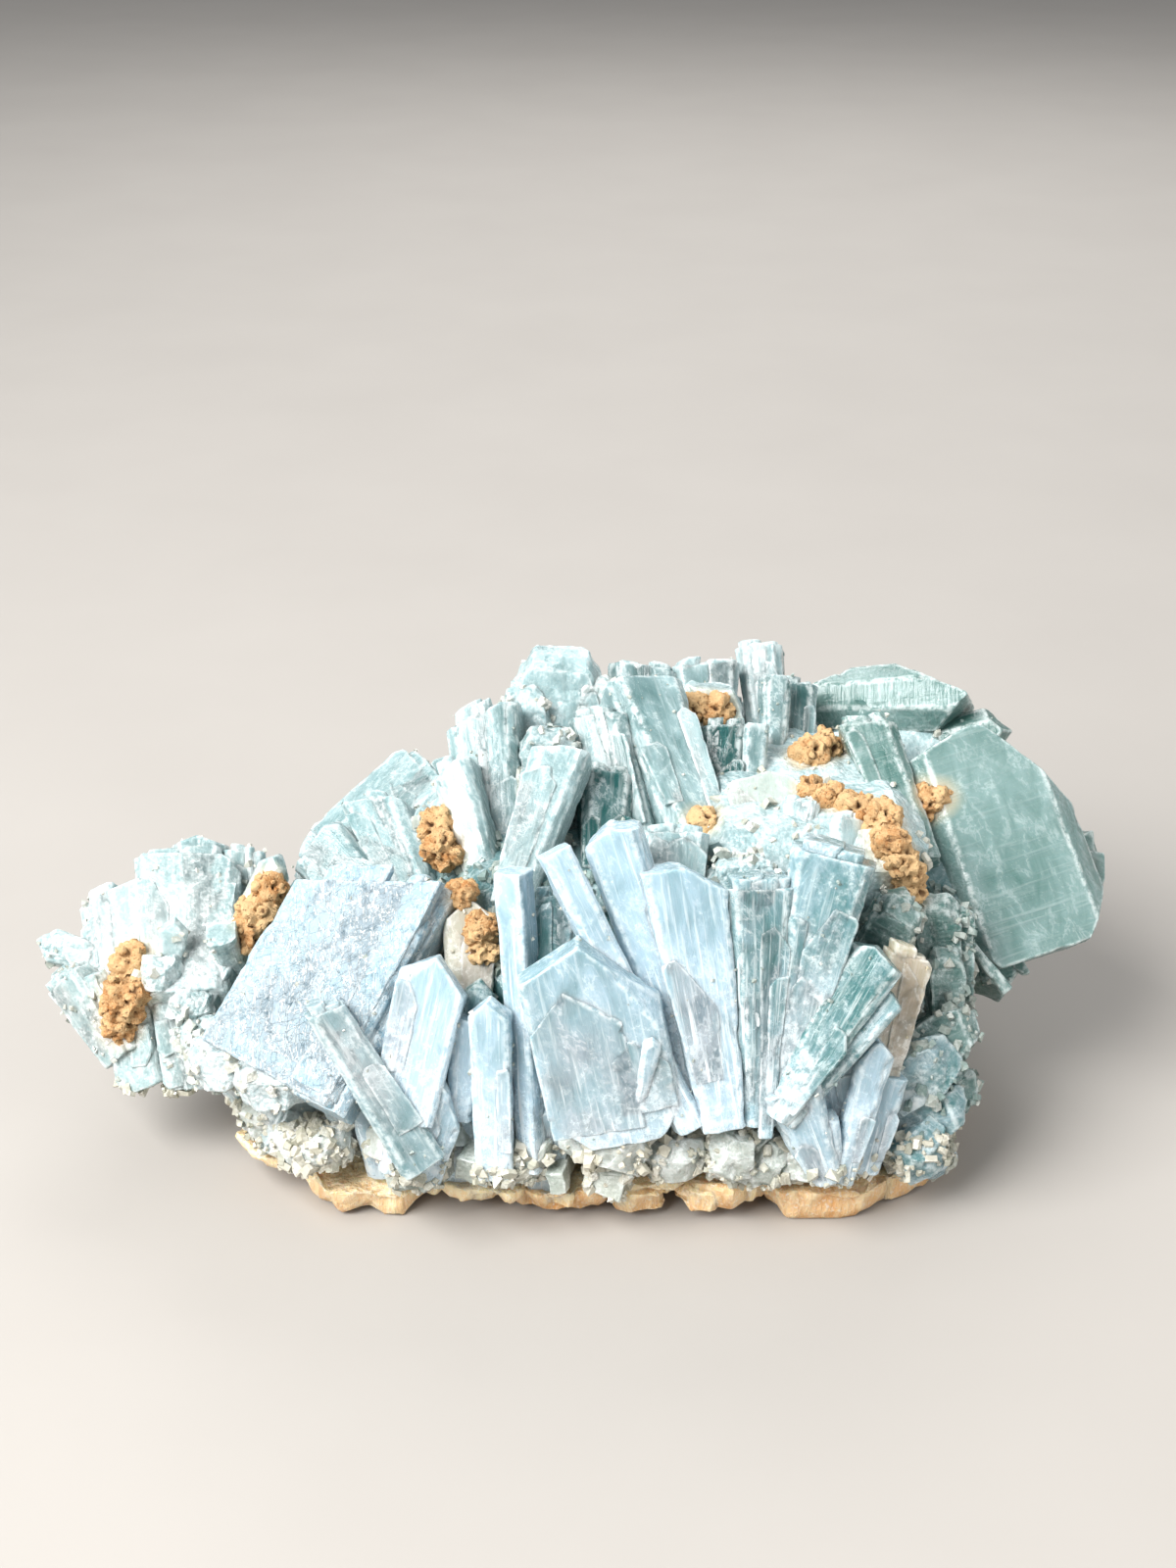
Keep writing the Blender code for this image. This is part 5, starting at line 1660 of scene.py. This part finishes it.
@dataclass
class Crust:
    """The thin honey-coloured crust under the crystals."""
    name: str
    lumps: tuple
    slab: tuple
    finish: CrustFinish
    top: float = 7.0
    tops: tuple[float, ...] = (-1.2, -0.6, 0.4, 0.8)   # how far the lumps' tops lie above it
    slab_shape: tuple[int, float, float] = (12, 0.93, 0.1)   # sides, underside's share, turn
    lump_shape: tuple[int, float] = (7, 0.8)           # sides, underside's share
    spread: float = 1.2       # how much wider than the CAD's lumps these are, to close their seams
    detail: float = 2.6
    wall: int = 46            # short columns that stand between the lumps, along the foot line
    wall_inset: float = 7.0
    wall_half: float = 4.6    # half their width
    wall_top: float = 0.5     # how far below the crust's top they end
    wall_low: float = 2.2     # mean height of their undersides
    wall_waves: Waves = ((0.035, 2.4),)
    bevel: float = 0.8
    flute_scale: Triple = (0.36, 0.36, 0.06)
    flute: float = 1.6        # height of the flutes
    swells: Waves = ((0.17, 2.2), (0.9, 0.3))
    swing: Span = (-1.2, 0.9)   # how far the surface sinks and rises
    lowered: float = 0.7      # how far inside the lumps it stays
    sharp: float = math.radians(40)

    def lump(self, middle: Sequence[float], half_widths: Span, low: float, high: float, sides: int,
             foot: float, turn: float) -> Body:
        """Make one lump: a short drum, wider at the top than at its underside.

        Args:
            middle: its place (x, y).
            half_widths: half its width along X and Y.
            low: the height of its underside.
            high: the height of its top.
            sides: how many sides it has.
            foot: the underside's share of the top's width.
            turn: how far it is turned, in radians.

        Returns:
            The lump in its place.
        """
        bm = bmesh.new()
        bmesh.ops.create_cone(bm, cap_ends=True, segments=sides, radius1=foot, radius2=1.0, depth=1.0)
        bmesh.ops.rotate(bm, cent=(0, 0, 0), matrix=Matrix.Rotation(turn, 3, "Z"), verts=bm.verts)
        size = (half_widths[0] + self.spread, half_widths[1] + self.spread, high - low)
        bmesh.ops.scale(bm, vec=size, verts=bm.verts)
        bmesh.ops.translate(bm, vec=(*middle, (low + high) / 2), verts=bm.verts)
        return bm

    def bodies(self, draw: random.Random) -> list[Body]:
        """Make the slab, the lumps and the columns of the wall between them.

        Args:
            draw: gives the lumps' tops and turns.

        Returns:
            The bodies in their places.
        """
        middle, half_widths, low = self.slab
        found = [self.lump(middle, half_widths, low, self.top, *self.slab_shape)]
        for middle, half_widths, low in self.lumps:
            high = self.top + draw.choice(self.tops)
            found.append(self.lump(middle, half_widths, low, high, *self.lump_shape, draw.uniform(0, 1)))
        for number in range(self.wall):
            edge = foot_line(2 * math.pi * number / self.wall)
            middle = edge - (edge - FOOT_CENTRE).normalized() * self.wall_inset
            low = self.wall_low + ripple(edge, self.wall_waves)
            found.append(self.lump(middle[:2], (self.wall_half, self.wall_half), low,
                                   self.top - self.wall_top, *self.lump_shape, draw.uniform(0, 1)))
        return found

    def build(self, cad: Cad) -> None:
        """Build the crust: fluted lumps side by side.

        Args:
            cad: the CAD model.
        """
        draw = random.Random(5)
        bundle = Bundle()
        for bm in self.bodies(draw):
            shade = draw.random()
            bevel_edges(bm, self.bevel, 2)
            split_edges(bm, self.detail)
            bmesh.ops.recalc_face_normals(bm, faces=bm.faces)
            points, outward, triangles = arrays(bm)
            for index, point in enumerate(points):
                flute = abs(noise.noise(Vector(point * np.array(self.flute_scale)))) * self.flute
                rise = held(ripple(Vector(point), self.swells) + flute, self.swing)
                points[index] += outward[index] * (rise - self.lowered)
            share = np.clip(points[:, 2] / self.top, 0, 1)
            bundle.add(points, triangles, grain=points, look=filled(len(points), 1.0, share, shade),
                       cover=np.zeros(3))
        place(bundle.build(self.name, cad, self.sharp), self.finish.material(), "honey_crust", "crust_base")


@dataclass
class ClayDeposit:
    """One crumbly deposit of clay, wedged in its pocket."""
    name: str
    lumps: tuple
    finish: ClayFinish
    crumbs: int = 7           # for each lump
    crumb_away: Span = (0.75, 1.05)   # distance from the lump's middle, in its radii
    crumb_size: Span = (0.12, 0.36)   # radius, in the lump's
    round_crumbs: float = 0.4   # share of the crumbs that are divided once more
    swells: Waves = ((0.4, 0.42), (1.1, 0.26))
    grit: Waves = ((2.6, 0.11), (5.0, 0.05))
    highest: float = 0.16     # most that the surface swells, in radii
    shrink: float = 0.98      # keeps a lump inside its solid
    pit_frequency: float = 0.85
    pit_least: float = 0.14   # the noise from which there is a pit
    pit_depth: float = 0.9
    pit_shade: float = 2.8
    sharp: float = math.radians(60)

    def lump(self, bundle: Bundle, middle: Vector, radius: float, seed: float, levels: int) -> None:
        """Add one lump, a ball with a wandering, pitted surface.

        Args:
            bundle: where its mesh goes.
            middle: its middle.
            radius: its radius.
            seed: sets its surface apart from the other lumps'.
            levels: how finely its ball is divided.
        """
        bm = bmesh.new()
        bmesh.ops.create_icosphere(bm, subdivisions=levels, radius=1.0)
        points, _, triangles = arrays(bm)
        pits = np.zeros(len(points))
        for index, point in enumerate(points):
            spot = Vector(point) * radius + Vector((seed * 7.3, seed * 3.1, 0))
            swell = min(ripple(spot, self.swells), self.highest)
            pit = max(0.0, noise.noise(spot * self.pit_frequency + Vector((9, 4, 2))) - self.pit_least)
            pits[index] = min(pit * self.pit_shade, 1.0)
            height = self.shrink + swell + ripple(spot, self.grit) - pit * self.pit_depth
            points[index] = point * radius * height
        tint = (seed * 0.37) % 1.0
        bundle.add(points + np.array(middle), triangles, grain=points,
                   look=filled(len(points), pits, 0.0, tint), cover=np.zeros(3))

    def build(self, cad: Cad) -> None:
        """Build the deposit: its lumps, with crumbs around them.

        Args:
            cad: the CAD model.
        """
        bundle = Bundle()
        draw = random.Random(self.name)
        for number, (middle, radius) in enumerate(self.lumps):
            self.lump(bundle, Vector(middle), radius, number + draw.uniform(1, 90), 4)
        for _ in range(self.crumbs * len(self.lumps)):
            middle, radius = draw.choice(self.lumps)
            away = Vector([draw.gauss(0, 1) for _ in range(3)]).normalized()
            spot = Vector(middle) + away * radius * draw.uniform(*self.crumb_away)
            size, seed = radius * draw.uniform(*self.crumb_size), draw.uniform(1, 90)
            self.lump(bundle, spot, size, seed, 3 if draw.random() < self.round_crumbs else 2)
        item = bundle.build(self.name + "_lumps", cad, self.sharp)
        place(item, self.finish.material(), "clay", self.name)


@dataclass(frozen=True)
class SoftLight:
    """A square soft light, aimed at the middle of the specimen."""
    name: str
    at: Triple
    size: float
    power: float
    aim: Triple = (0.0, 0.0, 0.03)

    def build(self) -> None:
        """Hang the light."""
        data = bpy.data.lights.new(self.name, "AREA")
        data.size, data.energy = self.size, self.power
        light = bpy.data.objects.new(self.name, data)
        light.location = self.at
        light.rotation_euler = (Vector(self.aim) - Vector(self.at)).to_track_quat("-Z", "Y").to_euler()
        bpy.context.scene.collection.objects.link(light)


@dataclass(frozen=True)
class Studio:
    """The floor, the light and the camera."""
    camera: Triple = (1.346, -337.385, 224.0)
    pitch: float = 27.0           # degrees below level
    lens: float = 54.0
    film: float = 36.0
    floor_size: float = 3.0
    lights: tuple[SoftLight, ...] = (
        SoftLight("key", (-0.5, -0.42, 0.66), 0.62, 21.5),
        SoftLight("fill", (0.65, -0.35, 0.35), 0.7, 3.0),
        SoftLight("rim", (0.1, 0.7, 0.6), 0.6, 4.5))
    sky: Colour = (0.93, 0.96, 1.0, 1.0)
    sky_strength: float = 0.42

    def build(self) -> None:
        """Set the scene up."""
        self.add_floor()
        for light in self.lights:
            light.build()
        world = bpy.data.worlds.new("studio_air")
        bpy.context.scene.world = world
        world.use_nodes = True
        background = world.node_tree.nodes["Background"]
        background.inputs["Color"].default_value = self.sky
        background.inputs["Strength"].default_value = self.sky_strength
        bpy.context.scene.view_settings.view_transform = "Standard"
        self.add_camera()

    def add_floor(self) -> None:
        """Lay the plain pale floor."""
        bm = bmesh.new()
        bmesh.ops.create_grid(bm, x_segments=1, y_segments=1, size=self.floor_size / 2)
        mesh = bpy.data.meshes.new("floor")
        bm.to_mesh(mesh)
        bm.free()
        floor = bpy.data.objects.new("floor", mesh)
        bpy.context.scene.collection.objects.link(floor)
        graph = Graph("floor_paint")
        grain = graph.noise(graph.place(), 0.02, 3)
        colour = graph.mix(srgb(155, 150, 144), srgb(161, 156, 150), grain)
        mesh.materials.append(graph.finish(graph.surface(Base_Color=colour, Roughness=0.8)))
        floor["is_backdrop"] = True

    def add_camera(self) -> None:
        """Stand the camera where the photograph was taken from."""
        data = bpy.data.cameras.new("camera")
        data.sensor_fit, data.sensor_height, data.sensor_width = "VERTICAL", self.film, self.film
        data.lens = self.lens
        camera = bpy.data.objects.new("camera", data)
        camera.location = Vector(self.camera) * MM
        camera.rotation_euler = Euler((math.radians(90 - self.pitch), 0, 0))
        bpy.context.scene.collection.objects.link(camera)
        bpy.context.scene.camera = camera


@dataclass(frozen=True)
class Fringe:
    """A ring of small crystals that point outward along the foot line."""
    count: int
    heights: Span             # of their feet
    seed: int
    lengths: Span
    widths: Span
    thicks: Span = (4, 6)
    jitter: float = 0.3       # how far one stands from its even place, as a share of the step
    aside: float = 0.4        # how far one points aside
    up: Span = (-0.1, 0.5)    # how far one points up
    roll: float = 0.6         # how far its broad face leans
    ends: tuple[End, ...] = (End.ROOF, End.WEDGE, End.FLAT)

    def crystals(self) -> tuple[Crystal, ...]:
        """List the crystals of the ring."""
        draw = random.Random(self.seed)
        return tuple(self.crystal(number, draw) for number in range(self.count))

    def crystal(self, number: int, draw: random.Random) -> Crystal:
        """Stand one crystal in the ring.

        Args:
            number: its place in the ring.
            draw: gives its size and lean.

        Returns:
            The crystal.
        """
        edge = foot_line(2 * math.pi * (number + draw.uniform(-self.jitter, self.jitter)) / self.count)
        outward = (edge - FOOT_CENTRE).normalized()
        foot = edge - outward * FRINGE_INSET
        foot.z = draw.uniform(*self.heights)
        aside = [draw.uniform(-self.aside, self.aside) for _ in range(2)]
        aim = outward + Vector((*aside, draw.uniform(*self.up)))
        tip = foot + aim.normalized() * draw.uniform(*self.lengths)
        faces = Vector([draw.uniform(-self.roll, self.roll) for _ in range(2)] + [1])
        return Crystal(f"fringe_{self.seed}_{number}", tuple(foot), tuple(tip), tuple(faces),
                       draw.uniform(*self.widths), draw.uniform(*self.thicks), draw.choice(self.ends),
                       bevel=0, chips=0)


LILAC, TEAL, GREEN = srgb(188, 213, 226), srgb(38, 92, 90), srgb(70, 114, 106)
# Painted shade: crystals that sit in recesses get this deep teal in place of the shade that falls on them
# there.
RECESS_SHADE_LOOK = Look(tint=0.05, frost=0.0, fibre=0.4, druse=0.02)
LUMP = Look(tint=0.22, frost=0.4, fibre=0.3, druse=0.12, grains=(0.6, 2.0))
TOE = Look(tint=0.7, frost=0.55, fibre=0.2, cream=0.5, druse=0.5, grains=(0.6, 2.2))
TOES = ("toe_white_a", "toe_white_b", "toe_white_c", "toe_left_a", "toe_left_b", "toe_mid_a", "toe_mid_b",
        "toe_mid_c", "toe_grey")
PLATE_STEPS = 3        # the big plate on the left and the steps along its side
SHELF_BLOCK = 6        # the blocks of the mass from here on carry the pale shelf
VENEER_DEPTH = -0.84   # place through the plate's thickness, -1 is its face
VENEER_WIDTH = 0.94    # share of the plate's width


def veneer(plate: Crystal) -> Crystal:
    """Lay a thin unbroken layer into a plate's face, which fills its chipped corners.

    Args:
        plate: the plate.

    Returns:
        The layer, as a crystal of its own.
    """
    return replace(plate, name="plate_veneer", foot=tuple(plate.inside(0, VENEER_DEPTH, 0)),
                   tip=tuple(plate.inside(0, VENEER_DEPTH, 1)), width=plate.width * VENEER_WIDTH,
                   thick=2.0, end=End.FLAT, bevel=0.1, chips=0)


def left_groups() -> list[CrystalGroup]:
    """List the lobe, the big plate and the slope on the left.

    Returns:
        The pieces, with their finishes and looks.
    """
    return [
        CrystalGroup(
            "barite_lobe", LEFT_LOBE, BariteFinish("lobe_barite", pale=srgb(172, 194, 194), foot_frost=0.3),
            Look(tint=0.8, frost=0.5, fibre=0.4, druse=0.1, grains=(0.5, 1.3), terraces=1),
            {"blade": Look(tint=0.5, frost=0.3, druse=0.02),
             "table": Look(tint=0.8, frost=0.45)}),
        CrystalGroup(
            "barite_left_plate", (*LEFT_PLATE[:PLATE_STEPS], veneer(LEFT_PLATE[0])),
            BariteFinish("etched_barite", deep=srgb(110, 152, 170), pale=srgb(158, 192, 208), gloss=0.36,
                         shine=0.2, etch=1.0, cracks=0.2),
            Look(tint=0.6, frost=0.28, fibre=0.15, terraces=0)),
        CrystalGroup(
            "barite_plate_foot", LEFT_PLATE[PLATE_STEPS:],
            BariteFinish("plate_foot_barite", pale=srgb(190, 209, 214)),
            Look(tint=0.78, frost=0.45, fibre=0.5, terraces=1, cream=0.1),
            {"diagonal_blade": Look(tint=0.6, frost=0.3, fibre=0.7, terraces=1)}),
        CrystalGroup(
            "barite_slope", LEFT_SLOPE, BariteFinish("slope_barite", etch=0.25),
            Look(tint=0.54, frost=0.32, fibre=0.4, terraces=2)),
    ]


def upper_groups() -> list[CrystalGroup]:
    """List the top row, the shelf and the giant blades.

    Returns:
        The pieces, with their finishes and looks.
    """
    return [
        CrystalGroup(
            "barite_top_row", TOP_ROW, BariteFinish("top_barite", deep=TEAL),
            Look(tint=0.55, frost=0.32, fibre=0.3, terraces=1, laths=3),
            {"speckled_blade": Look(tint=0.66, frost=0.4, fibre=0.5, druse=0.0, laths=0),
             # teal_block, notch_teal and dark_block get painted shade from the recess look.
             "teal_block": RECESS_SHADE_LOOK,
             "notch_teal": RECESS_SHADE_LOOK,
             "dark_block": replace(RECESS_SHADE_LOOK, tint=0.3),
             "column_front": Look(tint=0.6, frost=0.2, fibre=0.2, laths=2, terraces=0),
             "plate_left": replace(RECESS_SHADE_LOOK, tint=0.4, frost=0.1, fibre=0.2),
             "top_plate": Look(tint=0.66, frost=0.3, fibre=0.35, laths=0, terraces=2),
             "milky_round": Look(tint=0.7, frost=0.55, druse=0.02, grains=(0.6, 1.4)),
             "milky_west": Look(tint=0.75, frost=0.6, druse=0.04, grains=(0.8, 1.8)),
             "milky_east": Look(tint=0.9, frost=0.75, druse=0.04, grains=(0.8, 1.8), cream=0.15),
             "round_pale": Look(tint=0.6, frost=0.35, druse=0.03)}),
        CrystalGroup(
            "barite_shelf", SHELF, BariteFinish("shelf_barite"),
            Look(tint=0.7, frost=0.4, fibre=0.3, laths=3),
            {"shelf_pale": Look(tint=0.95, frost=0.5, cream=0.35, terraces=2)}),
        CrystalGroup(
            "barite_right_blades", RIGHT_BLADES,
            BariteFinish("right_barite", deep=GREEN, pale=srgb(150, 178, 175), gloss=0.18, cracks=0.15,
                         bands=0.1),
            Look(tint=0.4, frost=0.22, fibre=0.25, laths=2, terraces=1),
            {"giant_plate": Look(tint=0.55, frost=0.12, fibre=0.0, laths=0, terraces=0, druse=0.0),
             "lens": Look(tint=0.3, frost=0.0, fibre=0.1, laths=0, terraces=0, druse=0.0),
             # lens_dark gets painted shade from the recess look.
             "lens_dark": replace(RECESS_SHADE_LOOK, tint=0.3)}),
    ]


def lower_groups() -> list[CrystalGroup]:
    """List the fan in front, the back and the fringe of the foot.

    Returns:
        The pieces, with their finishes and looks.
    """
    coarse_ring = Fringe(16, (5, 8.5), 3, (7, 11), (6, 10))
    fine_ring = Fringe(90, (9, 14), 9, (7, 9.5), (3, 6))
    return [
        CrystalGroup(
            "barite_front_fan", FRONT_FAN + FAN_BETWEEN,
            BariteFinish("fan_barite", deep=srgb(80, 130, 130), pale=LILAC, foot_frost=0.75),
            Look(tint=0.78, frost=0.2, fibre=0.8, laths=0, terraces=1, druse=0.02),
            {"cream_sheet": Look(tint=0.8, frost=0.3, fibre=0.3, cream=0.9),
             "cream_shard": Look(tint=0.8, frost=0.3, fibre=0.3, cream=0.8),
             "low_plate": Look(tint=0.54, frost=0.2, fibre=0.5, laths=0, terraces=2, druse=0.01),
             # recess_teal, between_cave and dark_shard get painted shade from the recess look.
             **dict.fromkeys(("recess_teal", "between_cave", "dark_shard"), RECESS_SHADE_LOOK),
             **dict.fromkeys(TOES, TOE),
             "block_blade": Look(tint=0.36, frost=0.5, fibre=0.5, laths=2),
             "frosted_blade": Look(tint=0.02, frost=0.3, fibre=0.6, laths=0, terraces=1),
             **dict.fromkeys(("right_lump_a", "right_lump_b", "right_lump_c"), LUMP),
             "fan_column": Look(tint=0.26, frost=0.2, fibre=1.0, laths=3)},
            detail=1.8),
        CrystalGroup(
            "barite_back", BACK, BariteFinish("back_barite", deep=TEAL),
            Look(tint=0.5, frost=0.32, fibre=0.5, laths=2, terraces=2), detail=2.4),
        CrystalGroup(
            "barite_fringe", coarse_ring.crystals() + fine_ring.crystals(),
            BariteFinish("fringe_barite", pale=srgb(186, 197, 190), glow=0.0),
            Look(tint=0.8, frost=0.5, fibre=0.4, laths=0, terraces=0, druse=0.5, grains=(0.8, 2.0),
                 cream=0.2),
            detail=2.4),
    ]


def cores() -> list[CoreMass]:
    """List the two pieces of the mass behind the crystals.

    Returns:
        The pieces, with their finishes and looks.
    """
    return [
        CoreMass("barite_core", MASS[:SHELF_BLOCK], BariteFinish("core_barite", glow=0.0)),
        CoreMass("barite_shelf_core", MASS[SHELF_BLOCK:], BariteFinish("shelf_core_barite", glow=0.0),
                 Look(tint=0.85, frost=0.6, druse=0.06, grains=(0.6, 2.0), cream=0.25)),
    ]


def main() -> None:
    """Build the visual model in order."""
    logging.basicConfig(level=logging.INFO, format="%(message)s")
    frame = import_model()
    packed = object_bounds()
    cad = Cad(frame["nodes"]["barite_cluster"], *(tuple(corner) for corner in packed))
    clusters = [*left_groups(), *upper_groups(), *lower_groups(), *cores()]
    hosts = [host for cluster in clusters for host in cluster.hosts()]
    solids = Solids([core for cluster in clusters for core in cluster.cores()])
    for cluster in clusters:
        cluster.build(cad, solids)
    sugar = BariteFinish("druse_barite", deep=srgb(134, 156, 150), pale=srgb(216, 213, 200), gloss=0.14,
                         clear=0.35, glow=0.0)
    Druse("barite_druse", sugar).build(cad, hosts)
    Crust("crust", CRUST_LUMPS, CRUST_SLAB, CrustFinish("crust_honey")).build(cad)
    for name, lumps in CLAY.items():
        ClayDeposit(name, lumps, ClayFinish(name + "_ochre")).build(cad)
    Studio().build()


if __name__ == "__main__":
    main()
